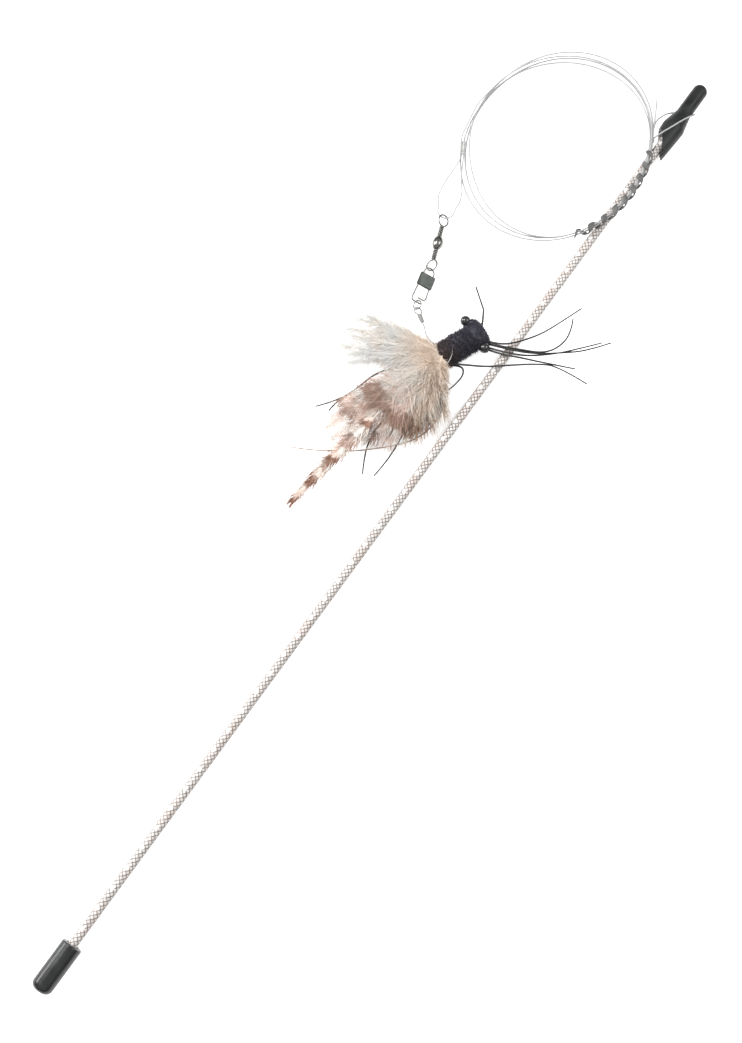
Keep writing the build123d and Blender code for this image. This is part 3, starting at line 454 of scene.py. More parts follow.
def pile_finish(name, glint_share):
    """Dark pile: blue-black towards the head, brown at the root, with grey glints on some fibres."""
    material, tree, shader = new_material(name)
    tone = colours()
    strand = place_group(tree, strand_group(), Streak_Size=1.6 * MM)
    ground = blend_colours(tree, remap(tree, strand["Along"], 0.02, 0.45), tone.neck_brown, tone.neck)
    glint = math_node(tree, "GREATER_THAN", strand["Chance"], 1 - glint_share)
    glint = math_node(tree, "MULTIPLY", glint, remap(tree, strand["Streak"], 0.5, 0.62))
    paint(
        tree, shader, blend_colours(tree, glint, ground, tone.neck_glint),
        remap(tree, strand["Chance"], 0.0, 1.0, 0.42, 0.7), {"Sheen Weight": 0.12})
    return material


# How far the feathers' bars wander with the streaks and by chance
BAR_WANDER = 14 * MM
BAR_WANDER_MEAN = 8 * MM
BAR_CHANCE = 2 * MM
STREAK_STRENGTH = 0.75


def feather_finish(name, root_tone, ground, cast, bars, streak_share, streak_tone):
    """Feather barbs: a root tone, a ground with a cast in patches, bars round the root and streaked barbs."""
    material, tree, shader = new_material(name)
    strand = place_group(tree, strand_group(), Streak_Size=6 * MM)
    place = add(tree, "ShaderNodeTexCoord").outputs["Object"]
    reach = add(tree, "ShaderNodeVectorMath", {0: place, 1: FEATHER_ROOT * MM}, operation="DISTANCE")
    reach = reach.outputs["Value"]
    tone = blend_colours(tree, remap(tree, strand["Streak"], 0.4, 0.62), ground, cast)
    tone = blend_colours(tree, remap(tree, reach, 10 * MM, 24 * MM, smooth=True), root_tone, tone)
    shift = math_node(tree, "MULTIPLY_ADD", strand["Streak"], BAR_WANDER, reach)
    shift = math_node(tree, "MULTIPLY_ADD", strand["Chance"], BAR_CHANCE, shift)
    for radius, half, strength, bar_tone in bars:
        off = math_node(tree, "SUBTRACT", shift, radius * MM + BAR_WANDER_MEAN)
        off = math_node(tree, "ABSOLUTE", off)
        bar = remap(tree, off, half * MM, half * 0.4 * MM, 0.0, strength, smooth=True)
        tone = blend_colours(tree, bar, tone, bar_tone)
    streak = math_node(tree, "GREATER_THAN", strand["Chance"], 1 - streak_share)
    tone = blend_colours(tree, math_node(tree, "MULTIPLY", streak, STREAK_STRENGTH), tone, streak_tone)
    paint(tree, shader, tone, remap(tree, strand["Chance"], 0.0, 1.0, 0.6, 0.85), {"Sheen Weight": 0.15})
    return material


# Object helpers
def link_object(name, data):
    obj = bpy.data.objects.new(name, data)
    bpy.context.scene.collection.objects.link(obj)
    return obj


def smooth_curve(name, routes, radius_at=None):
    """Smooth open splines through routes. radius_at gives a point's radius by route and share along it."""
    data = bpy.data.curves.new(name, "CURVE")
    data.dimensions = "3D"
    for index, route in enumerate(routes):
        spline = data.splines.new("NURBS")
        spline.points.add(len(route) - 1)
        for step, (point, place) in enumerate(zip(spline.points, route)):
            point.co = (*place, 1)
            if radius_at:
                point.radius = radius_at(index, step / (len(route) - 1))
        spline.order_u = 3
        spline.use_endpoint_u = True
    return data


def cord_object(name, routes, radius, material, radius_at=None, sides=3):
    """An object of smooth splines with a round section."""
    data = smooth_curve(name, routes, radius_at)
    data.bevel_depth = radius
    data.bevel_resolution = sides
    data.use_fill_caps = True
    for spline in data.splines:
        spline.resolution_u = 6
    data.materials.append(material)
    return link_object(name, data)


def dress(piece, body, slot, *nodes):
    """Puts a piece on its body, in place of the CAD nodes that it stands for. The slot is not used."""
    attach(piece, body)
    if nodes:
        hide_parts(*nodes)


def finish_node(node, material):
    """Gives a CAD node's own object a finish."""
    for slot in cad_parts[node].material_slots:
        slot.link = "OBJECT"
        slot.material = material


def shade_smooth(obj):
    for polygon in obj.data.polygons:
        polygon.use_smooth = True


def settle(obj, name):
    """Turns an object with a Geometry Nodes modifier into a plain mesh, flat where it meets the floor."""
    bpy.context.view_layer.update()
    graph = bpy.context.evaluated_depsgraph_get()
    mesh = bpy.data.meshes.new_from_object(
        obj.evaluated_get(graph), preserve_all_data_layers=True, depsgraph=graph)
    mesh.name = name
    old = obj.data
    bpy.data.objects.remove(obj)
    if isinstance(old, bpy.types.Curve):
        bpy.data.curves.remove(old)
    for vertex in mesh.vertices:
        vertex.co.z = max(vertex.co.z, FLOOR_Z)
    result = link_object(name, mesh)
    shade_smooth(result)
    return result


def geometry_tree(name, floats, ints):
    """A geometry tree with named inputs, as tree and input sockets."""
    tree = bpy.data.node_groups.new(name, "GeometryNodeTree")
    kinds = {"Geometry": "Geometry", "Material": "Material"}
    kinds.update(dict.fromkeys(floats, "Float"))
    kinds.update(dict.fromkeys(ints, "Int"))
    for label, kind in kinds.items():
        tree.interface.new_socket(label, in_out="INPUT", socket_type="NodeSocket" + kind)
    tree.interface.new_socket("Geometry", in_out="OUTPUT", socket_type="NodeSocketGeometry")
    return tree, tree.nodes.new("NodeGroupInput").outputs


def put_out(tree, geometry, material):
    """Ends a tree in Realize Instances and Set Material."""
    realized = add(tree, "GeometryNodeRealizeInstances", {0: geometry}).outputs[0]
    painted = add(tree, "GeometryNodeSetMaterial", {"Geometry": realized, "Material": material}).outputs[0]
    output = tree.nodes.new("NodeGroupOutput")
    tree.links.new(painted, output.inputs[0])


def use_tree(obj, tree, values):
    """Puts a tree on an object, with its inputs set by their identifiers."""
    modifier = obj.modifiers.new(tree.name, "NODES")
    modifier.node_group = tree
    known = {item.name: item.identifier for item in tree.interface.items_tree if item.in_out == "INPUT"}
    for name, value in values.items():
        modifier[known[name]] = value


def store(tree, geometry, name, value):
    node = add(
        tree, "GeometryNodeStoreNamedAttribute", {"Geometry": geometry, "Name": name, "Value": value},
        data_type="FLOAT", domain="POINT")
    return node.outputs[0]


def random_value(tree, low, high, seed):
    node = add(tree, "FunctionNodeRandomValue", data_type="FLOAT")
    for socket in node.inputs:
        if socket.enabled and socket.name == "Min":
            socket.default_value = low
        elif socket.enabled and socket.name == "Max":
            socket.default_value = high
        elif socket.name == "Seed":
            tree.links.new(seed, socket)
    return next(socket for socket in node.outputs if socket.enabled)


# Line
def coil_radius(angle):
    oval = COIL_OVAL * math.cos(math.radians(2 * (angle - COIL_OVAL_LEAN)))
    return COIL_RADIUS + oval - COIL_EGG * math.sin(math.radians(angle))


def coil_place(angle, radius, up):
    """A point in the coil's sloping plane, by its angle, radius and height above the plane."""
    slope = (BUNDLE_HEIGHT - COIL_FLOOR) / (COIL_CENTRE_Y + coil_radius(90))
    tilt = math.atan(slope)
    across = radius * math.cos(math.radians(angle))
    ahead = radius * math.sin(math.radians(angle))
    return Vector((
        COIL_CENTRE_X + across,
        COIL_CENTRE_Y + ahead * math.cos(tilt) + up * math.sin(tilt),
        BUNDLE_HEIGHT - COIL_CENTRE_Y * slope - ahead * math.sin(tilt) + up * math.cos(tilt),
    ))


def tie_lane(lap):
    """Where a lap's strand lies in the tied bundle: outwards and up. Lap 0 comes from the knot."""
    ring = STRAND_SPACING / math.sqrt(3)
    side = STRAND_SPACING / 2
    return [(0, -KNOT_DROP), (-side, -ring / 2), (side, -ring / 2), (0, ring)][lap]


def eased(share):
    return (1 - math.cos(math.pi * share)) / 2


def coil_point(angle):
    """A point of the coil, by the angle turned in all."""
    lap = math.floor((angle - TIE_TO) / 360)
    free = (angle - TIE_TO - 360 * lap) / FREE_SPAN
    if free >= 1:
        outwards, up = tie_lane(lap + 1)
        return coil_place(angle, coil_radius(angle) + outwards, up)
    far_height = lap * STRAND_SPACING
    if free < 0.5:
        near, fan, share = tie_lane(lap), RIGHT_FAN_SHARES[lap], 1 - eased(2 * free)
    else:
        near = tie_lane(lap + 1) if lap < COIL_LAPS else (0, 0)
        fan, share = LEFT_FAN_SHARES[lap], eased(2 * free - 1)
    up = far_height + (near[1] - far_height) * share
    spread = fan * LOOP_FAN * math.sin(2 * math.pi * free) ** 2
    return coil_place(angle, coil_radius(angle) + near[0] * share + spread, up)


def sleeve_run(side, stations):
    """Points of the line on a bore of the crimp sleeve."""
    ahead = heading_vector(SLEEVE_HEADING)
    across = Vector((-ahead.y, ahead.x, 0)) * side * SLEEVE_BORE_OFFSET
    return [SLEEVE_CENTRE + across + ahead * station for station in stations]


def bight_points():
    """The turn of the line through the upper eye of the swivel."""
    ahead = heading_vector(SWIVEL_HEADING)
    across = Vector((-ahead.y, ahead.x, 0))
    points = []
    for forward, aside in BIGHT_SHARES:
        reach = BIGHT_RADIUS * (forward - 1) - BIGHT_INSIDE_EYE
        points.append(EYE_CENTRE + ahead * reach + across * BIGHT_RADIUS * aside)
    return points


def line_points():
    start = TIE_TO + KNOT_SPAN
    end = TIE_TO + 360 * COIL_LAPS + FREE_SPAN / 2
    steps = round((end - start) / 360 * COIL_POINTS_PER_TURN)
    coil = [coil_point(start + (end - start) * step / steps) for step in range(steps + 1)]
    leaving = (coil[-1] - coil[-2]).normalized()
    half = SLEEVE_HALF
    outer = sleeve_run(-1, (-half - SLEEVE_LEAD, -half, half, half + SLEEVE_LEAD))
    inner = sleeve_run(1, (half + SLEEVE_LEAD, half, -half - SLEEVE_TAIL))
    lead = [coil[-1] + leaving * COIL_LEAD] + scaled(LEAD_ROUTE)
    return coil + lead + outer + scaled(DROP_ROUTE) + bight_points() + scaled(RETURN_ROUTE) + inner


def knot_centre():
    return coil_point(TIE_TO + KNOT_SPAN)


def knot_points():
    """A small overhand knot, as three lobes that cross over each other."""
    points = []
    for step in range(KNOT_STEPS + 1):
        turn = 2 * math.pi * step / KNOT_STEPS
        lobe = Vector((
            math.sin(turn) + 2 * math.sin(2 * turn),
            math.cos(turn) - 2 * math.cos(2 * turn),
            -KNOT_RISE * math.sin(3 * turn),
        ))
        points.append(knot_centre() + lobe * KNOT_SIZE)
    return points


class WAND_OT_line(bpy.types.Operator):
    """Makes the line as one smooth cord from the knot through the coil and the swivel's eye to the sleeve"""
    bl_idname = "wand.line"
    bl_label = "Line"

    def execute(self, context):
        clear = clear_finish("clear_line", colours().line, 0.86, 1.0, 0.5)
        lift = Vector((0, 0, HITCH_LIFT))
        hitch_route = [knot_centre() + lift] + scaled(HITCH_ROUTE) + [knot_centre() - lift]
        made = []
        for name, route, nodes in (
            ("line", line_points(), ("line_coil", "line_drop")),
            ("hitch", hitch_route, ("line_hitch",)),
            ("knot", knot_points(), ("line_knot",)),
            ("tag_end", [knot_centre()] + scaled(TAG_ROUTE), ("line_tag_end",)),
        ):
            made.append(cord_object(name, [route], LINE_RADIUS, clear))
            dress(made[-1], "wand", "clear_line", *nodes)
        finish_node("crimp_sleeve", metal_finish("crimp_metal", colours().crimp, 0.3))
        return {"FINISHED"}


class WAND_OT_rod(bpy.types.Operator):
    """Gives the rod its clear tube, its printed film and its two soft caps"""
    bl_idname = "wand.rod"
    bl_label = "Rod and Caps"

    def execute(self, context):
        finish_node("rod_tube", clear_finish("clear_tube", colours().tube, 0.02, 0.85, 0.08))
        finish_node("pattern_film", film_finish())
        finish_node("handle_cap", vinyl_finish("vinyl_glossy", 0.21, 0.45))
        finish_node("tip_cap", vinyl_finish("vinyl_matte", 0.42, 0.26))
        return {"FINISHED"}


# Twist tie
TIE_THICKNESS = 0.55 * MM
TIE_GAP = 0.45 * MM
TIE_RUN = 58.0 * MM
TIE_STEPS_PER_TURN = 26
TIE_EDGE_SHARE = 0.35
TIE_END_SHARE = 0.25
TIE_END_RATE = 6
TIE_CORNERS = 10
TIE_SQUARENESS = 0.6


def turns_round(count):
    """Angles of a count of even steps round a ring."""
    return [2 * math.pi * step / count for step in range(count)]


def coil_middle(angle, up=0.0):
    """A point on the middle of the tied strands, or above it."""
    return coil_place(angle, coil_radius(angle), up)


def tie_rings(turns, width):
    """Sections of a flat ribbon wound round the tied strands, each a closed loop of points."""
    bundle = STRAND_SPACING / math.sqrt(3) + LINE_RADIUS
    reach = bundle + TIE_GAP + TIE_THICKNESS / 2
    pitch = TIE_RUN / turns
    rings = []
    total = turns * TIE_STEPS_PER_TURN
    for step in range(total + 1):
        share = step / total
        angle = TIE_FROM + (TIE_TO - TIE_FROM) * share
        middle = coil_middle(angle)
        ahead = (coil_middle(angle + 0.1) - middle).normalized()
        up = (coil_middle(angle, MM) - middle).normalized()
        side = ahead.cross(up)
        turned = 2 * math.pi * turns * share
        outwards = side * math.cos(turned) + up * math.sin(turned)
        onwards = up * math.cos(turned) - side * math.sin(turned)
        pinch = min(1.0, TIE_END_RATE * min(share, 1 - share) + TIE_END_SHARE)
        flat_share = TIE_EDGE_SHARE + (1 - TIE_EDGE_SHARE) * abs(math.sin(turned))
        lean = (ahead * reach - onwards * pitch / (2 * math.pi)).normalized() * width / 2 * pinch * flat_share
        ring = []
        for around in turns_round(TIE_CORNERS):
            thick = math.copysign(abs(math.sin(around)) ** TIE_SQUARENESS, math.sin(around))
            out = outwards * (reach + TIE_THICKNESS / 2 * thick)
            ring.append(middle + out + lean * math.cos(around))
        rings.append(ring)
    return rings


def skin_rings(name, rings, material):
    """A closed tube over a row of rings, with its two ends capped."""
    shape = bmesh.new()
    loops = [[shape.verts.new(place) for place in ring] for ring in rings]
    for first, second in zip(loops, loops[1:]):
        for index in range(len(first)):
            after = (index + 1) % len(first)
            shape.faces.new((first[index], first[after], second[after], second[index]))
    shape.faces.new(reversed(loops[0]))
    shape.faces.new(loops[-1])
    bmesh.ops.recalc_face_normals(shape, faces=shape.faces)
    mesh = bpy.data.meshes.new(name)
    shape.to_mesh(mesh)
    shape.free()
    mesh.materials.append(material)
    obj = link_object(name, mesh)
    shade_smooth(obj)
    return obj


class WAND_OT_tie(bpy.types.Operator):
    """Winds the flat twist tie round the coil where it lies over the rod"""
    bl_idname = "wand.tie"
    bl_label = "Twist Tie"

    def execute(self, context):
        tie = skin_rings("twist_wrap", tie_rings(sizes().tie_turns, sizes().tie_width), tie_finish())
        dress(tie, "wand", "tie_plastic", "twist_tie")
        return {"FINISHED"}


class WAND_OT_swivel(bpy.types.Operator):
    """Finishes the swivel, snap and rings in bright and dark metal"""
    bl_idname = "wand.swivel"
    bl_label = "Swivel and Snap"

    def execute(self, context):
        bright = metal_finish("nickel_bright", colours().nickel, 0.2)
        for node in ("swivel_barrel", "upper_eye", "lower_eye", "snap_frame", "snap_gate", "lure_ring"):
            finish_node(node, bright)
        finish_node("snap_plate", metal_finish("plate_dark", colours().plate, 0.42))
        wire = metal_finish("shank_wire", colours().wire, 0.4)
        for node in ("shank", "eye_bar"):
            finish_node(node, wire)
        finish_node("lure_link", clear_finish("link_pale", colours().link, 0.9, 1.0, 0.4))
        finish_node("link_sleeve", clear_finish("sleeve_grey", colours().link_sleeve, 0.95, 1.0, 0.4))
        return {"FINISHED"}


# Neck rope and head, in the lure's axes
PILE_THICKNESS = 0.3 * MM
PILE_LEAN = 0.9
PILE_SEED = 7
NECK_INNER = 3.25 * MM
NECK_ROPE = 0.95 * MM
NECK_PITCH = 2.4 * MM
NECK_TURNS = 5.75
NECK_START = -0.4 * MM
NECK_MARK_START = -2 * MM
NECK_STEPS_PER_TURN = 28
NECK_CORNERS = 10
ROPE_SWELL_SHARE = 0.07
ROPE_SWELLS = 3.7
ROPE_FLATNESS = 1.18
HEAD_LAP = 0.4 * MM
HEAD_OVER = 0.1 * MM
HEAD_NECK_HALF = 5.0 * MM
HEAD_SWELL = 1.6 * MM
HEAD_HALF_HEIGHT = 4.9 * MM
HEAD_RISE = 0.9 * MM
HEAD_SWELL_END_SHARE = 0.25
HEAD_SHOULDER_SHARE = 0.3
HEAD_ROUNDNESS = 2.6
HEAD_TIP_SHARE = 0.004
HEAD_LOBES = 5
HEAD_LOBE_SHARE = 0.02
THREAD_RIDGES = 60
THREAD_RIDGE_SHARE = 0.018
HEAD_STEPS = 26
HEAD_CORNERS = 36


def pile_tree():
    """Short fibres standing all over a surface, leaning by chance."""
    tree, given = geometry_tree("pile", ("Density", "Length", "Thickness", "Lean"), ("Seed",))
    spread = add(tree, "GeometryNodeDistributePointsOnFaces", {
        "Mesh": given["Geometry"], "Density": given["Density"], "Seed": given["Seed"]})
    points = store(tree, spread.outputs["Points"], "chance", random_value(tree, 0.0, 1.0, given["Seed"]))
    spike = add(tree, "GeometryNodeMeshCone", {
        "Vertices": 3, "Radius Top": 0.0, "Radius Bottom": 0.5, "Depth": 1.0}).outputs["Mesh"]
    lean = add(tree, "FunctionNodeRandomValue", data_type="FLOAT_VECTOR")
    for key, sign in ((0, -1.0), (1, 1.0)):
        swing = math_node(tree, "MULTIPLY", given["Lean"], sign)
        corner = add(tree, "ShaderNodeCombineXYZ", {0: swing, 1: swing})
        tree.links.new(corner.outputs[0], lean.inputs[key])
    turned = add(tree, "FunctionNodeRotateRotation", {
        0: spread.outputs["Rotation"], 1: lean.outputs[0]}, rotation_space="LOCAL")
    stretch = math_node(tree, "MULTIPLY", given["Length"], random_value(tree, 0.55, 1.15, given["Seed"]))
    size = add(tree, "ShaderNodeCombineXYZ", {0: given["Thickness"], 1: given["Thickness"], 2: stretch})
    fibres = add(tree, "GeometryNodeInstanceOnPoints", {
        "Points": points, "Instance": spike, "Rotation": turned.outputs[0],
        "Scale": size.outputs[0]}).outputs[0]
    both = add(tree, "GeometryNodeJoinGeometry")
    tree.links.new(given["Geometry"], both.inputs[0])
    tree.links.new(fibres, both.inputs[0])
    put_out(tree, both.outputs[0], given["Material"])
    return tree


def neck_rings():
    """Sections of the chenille rope wound round the neck."""
    steps = round(NECK_TURNS * NECK_STEPS_PER_TURN)
    place = lure_matrix()
    rings = []
    for step in range(steps + 1):
        turn = 2 * math.pi * NECK_TURNS * step / steps
        outwards = Vector((0, math.cos(turn), math.sin(turn)))
        ahead = Vector((ROPE_FLATNESS, 0, 0))
        half = NECK_ROPE * (1 + ROPE_SWELL_SHARE * math.sin(ROPE_SWELLS * turn))
        centre = Vector((NECK_START + NECK_PITCH * turn / (2 * math.pi), 0, 0))
        centre += outwards * (NECK_INNER + NECK_ROPE)
        rings.append([
            place @ (centre + (outwards * math.cos(around) + ahead * math.sin(around)) * half)
            for around in turns_round(NECK_CORNERS)
        ])
    return rings


def head_rings():
    """Sections of the wound head, a dome that swells over the eye bar and is ridged by its thread."""
    place = lure_matrix()
    rings = []
    for step in range(HEAD_STEPS + 1):
        share = step / HEAD_STEPS
        reach = HEAD_FRONT + HEAD_OVER - HEAD_START + HEAD_LAP
        x = HEAD_START - HEAD_LAP + reach * math.sin(share * math.pi / 2)
        past_shoulder = max(0.0, (share - HEAD_SHOULDER_SHARE) / (1 - HEAD_SHOULDER_SHARE))
        dome = math.sqrt(max(HEAD_TIP_SHARE, 1 - past_shoulder ** HEAD_ROUNDNESS))
        dome *= 1 + THREAD_RIDGE_SHARE * math.sin(share * THREAD_RIDGES)
        wide = (HEAD_NECK_HALF + HEAD_SWELL * eased(min(1.0, share / HEAD_SWELL_END_SHARE))) * dome
        ring = []
        for around in turns_round(HEAD_CORNERS):
            y = wide * (1 + HEAD_LOBE_SHARE * math.sin(HEAD_LOBES * around)) * math.cos(around)
            z = HEAD_HALF_HEIGHT * dome * math.sin(around) + HEAD_RISE * share
            ring.append(place @ Vector((x, y, z)))
        rings.append(ring)
    return rings


def mark_along(obj, start, end):
    """Stores how far each point lies along the lure, from 0 to 1."""
    marks = obj.data.attributes.new("along", "FLOAT", "POINT")
    back = lure_matrix().inverted()
    for vertex, mark in zip(obj.data.vertices, marks.data):
        mark.value = min(1.0, max(0.0, ((back @ vertex.co).x - start) / (end - start)))


class WAND_OT_head(bpy.types.Operator):
    """Winds the neck in chenille, builds the fuzzy head and finishes the bead eyes"""
    bl_idname = "wand.head"
    bl_label = "Neck and Head"

    def execute(self, context):
        pile = pile_tree()
        for name, rings, node, slot, glints, density, length in (
            ("neck_pile", neck_rings(), "neck_winding", "chenille", 0.1, 1.0, 1.0),
            ("head_pile", head_rings(), "head_dome", "black_thread", 0.4, 0.8, 0.62),
        ):
            finish = pile_finish(name + "_finish", glints)
            piece = skin_rings(name, rings, finish)
            mark_along(piece, NECK_MARK_START, HEAD_FRONT)
            use_tree(piece, pile, {
                "Density": sizes().pile_density * density, "Length": sizes().pile_length * length,
                "Thickness": PILE_THICKNESS, "Lean": PILE_LEAN, "Seed": PILE_SEED, "Material": finish})
            dress(settle(piece, name), "lure", slot, node)
        finish_node("neck_core", pile_finish("neck_core_finish", 0.0))
        finish_node("eye_beads", bead_finish())
        return {"FINISHED"}


# Bristles, as routes in the frame, in millimetres
WHISKER_ROUTES = [
    [
        (305.4, 11.2, 1.6), (306.4, 6.2, 3.0), (309.6, 0.6, 4.1), (318.6, -6.2, 4.6),
        (326.0, -9.6, 4.6), (339.5, -14.3, 4.0),
    ],
    [
        (305.0, 10.8, 1.2), (306.2, 4.6, 3.4), (309.4, -3.2, 4.4), (314.4, -13.4, 4.5),
        (322.4, -17.0, 4.3), (329.6, -16.0, 4.1), (333.6, -14.0, 4.0),
    ],
    [
        (303.6, 9.6, 0.6), (304.6, 3.0, 3.4), (308.0, -6.2, 4.5), (314.2, -14.2, 4.6),
        (321.6, -21.2, 4.3), (331.8, -29.4, 4.0),
    ],
    [
        (303.0, 9.4, 0.2), (303.6, 2.4, 3.2), (306.8, -5.6, 4.4), (309.2, -11.6, 4.5),
        (313.0, -20.0, 4.2), (316.0, -26.7, 4.0),
    ],
    [
        (304.8, 10.2, 0.8), (306.6, 2.2, 3.6), (311.0, -9.0, 4.6), (318.5, -18.6, 4.4),
        (325.3, -26.4, 4.2), (333.9, -32.4, 4.0),
    ],
    [
        (289.3, 16.6, 0.8), (292.2, 11.0, 1.6), (296.0, 3.0, 3.6), (302.0, -4.6, 4.4),
        (309.0, -13.4, 4.4), (312.9, -20.6, 4.2), (313.4, -34.2, 4.0),
    ],
]
ANTENNA_ROUTE = [
    (308.0, 14.6, 2.0), (310.3, 15.1, 3.0), (312.3, 16.3, 4.2), (315.0, 18.0, 5.6), (315.0, 18.0, 5.6),
    (318.5, 23.1, 7.4), (320.6, 25.9, 8.0),
]
LEG_ROUTES = [
    [
        (286.0, 23.0, -0.4), (276.5, 32.4, 0.2), (268.6, 39.0, 0.6), (258.0, 41.4, 0.6),
        (249.2, 45.0, 0.6), (242.3, 50.6, 0.6),
    ],
    [
        (286.0, 22.6, 0.2), (270.0, 34.2, 0.6), (257.0, 41.0, 0.6), (249.4, 45.0, 0.6),
        (244.1, 45.1, 0.6),
    ],
    [
        (286.0, 22.0, -2.6), (268.0, 25.0, -2.6), (255.0, 26.0, -2.4), (246.7, 25.4, -2.4),
        (238.6, 23.4, -2.8), (231.0, 18.9, -3.2),
    ],
    [
        (286.0, 21.6, -1.8), (270.0, 19.4, -1.8), (257.0, 15.6, -2.4), (247.1, 14.4, -2.9),
        (240.0, 14.2, -3.3), (233.2, 14.8, -3.6),
    ],
    [
        (288.9, 16.6, -0.4), (291.4, 12.6, 0.2), (290.2, 9.9, -0.4), (285.6, 9.4, -0.8),
        (280.5, 10.7, -1.2),
    ],
]
FILAMENT_ROUTE = [
    (287.4, 17.4, -2.4), (280.0, 12.0, -3.4), (272.0, 8.0, -3.0), (263.3, 7.2, -1.4),
    (254.9, 9.6, -0.9), (249.0, 13.9, -0.8), (242.4, 20.4, -0.8), (235.1, 28.4, -0.8),
    (229.1, 37.3, -0.5), (225.1, 43.8, 0.0), (222.3, 49.3, 0.2),
]
TINSEL_ROUTE = [
    (294.2, 19.4, 5.4), (292.5, 17.7, 6.4), (289.5, 16.7, 6.9), (286.7, 16.5, 6.8), (284.2, 17.3, 6.2),
    (282.4, 18.4, 5.4),
]
FILAMENT_SHARE = 0.8
ANTENNA_SHARE = 1.05
TINSEL_RADIUS = 0.14 * MM


def bristle_taper(_, share):
    """A bristle's thickness along it, as a share of its root's."""
    return 1.0 - 0.35 * share


class WAND_OT_bristles(bpy.types.Operator):
    """Sets the whiskers, the antenna, the legs, the loose filament and the tinsel"""
    bl_idname = "wand.bristles"
    bl_label = "Bristles"

    def execute(self, context):
        root = sizes().bristle_radius
        black, tan = bristle_finish(), filament_finish()
        silver = metal_finish("tinsel_silver", colours().tinsel, 0.25)
        for name, routes, nodes, radius, finish, slot, taper in (
            ("whisker_bristles", WHISKER_ROUTES, ["whiskers"], root, black, "bristle", bristle_taper),
            ("antenna_bristle", [ANTENNA_ROUTE], ["antenna"], root * ANTENNA_SHARE, black, "bristle",
             bristle_taper),
            ("leg_bristles", LEG_ROUTES, ["legs"], root, black, "bristle", bristle_taper),
            ("filament", [FILAMENT_ROUTE], [], root * FILAMENT_SHARE, tan, "tan_feather", bristle_taper),
            ("tinsel", [TINSEL_ROUTE], [], TINSEL_RADIUS, silver, "link_wire", None),
        ):
            piece = cord_object(name, [scaled(route) for route in routes], radius, finish, taper, sides=2)
            dress(piece, "lure", slot, *nodes)
        return {"FINISHED"}


# Feathers
SHAFT_SPANS = 8
VANE_ROOT_SHARE = 0.3
VANE_FULL_SHARE = 0.35
VANE_SWELL_POWER = 0.7
VANE_FALL_SHARE = 0.55
VANE_FALL_POWER = 1.6
SHAFT_STEPS = 40
SHAFT_RADIUS = 0.2 * MM
SHAFT_TIP_SHARE = 0.15
BARB_TIP_SHARE = 0.5
BARB_CURL = 0.3
BARB_ROLL = 6.0


def off_centre(tree, seed, step):
    """A chance from -0.5 to 0.5, with its own step of the seed."""
    chance = random_value(tree, 0.0, 1.0, math_node(tree, "ADD", seed, step))
    return math_node(tree, "SUBTRACT", chance, 0.5)


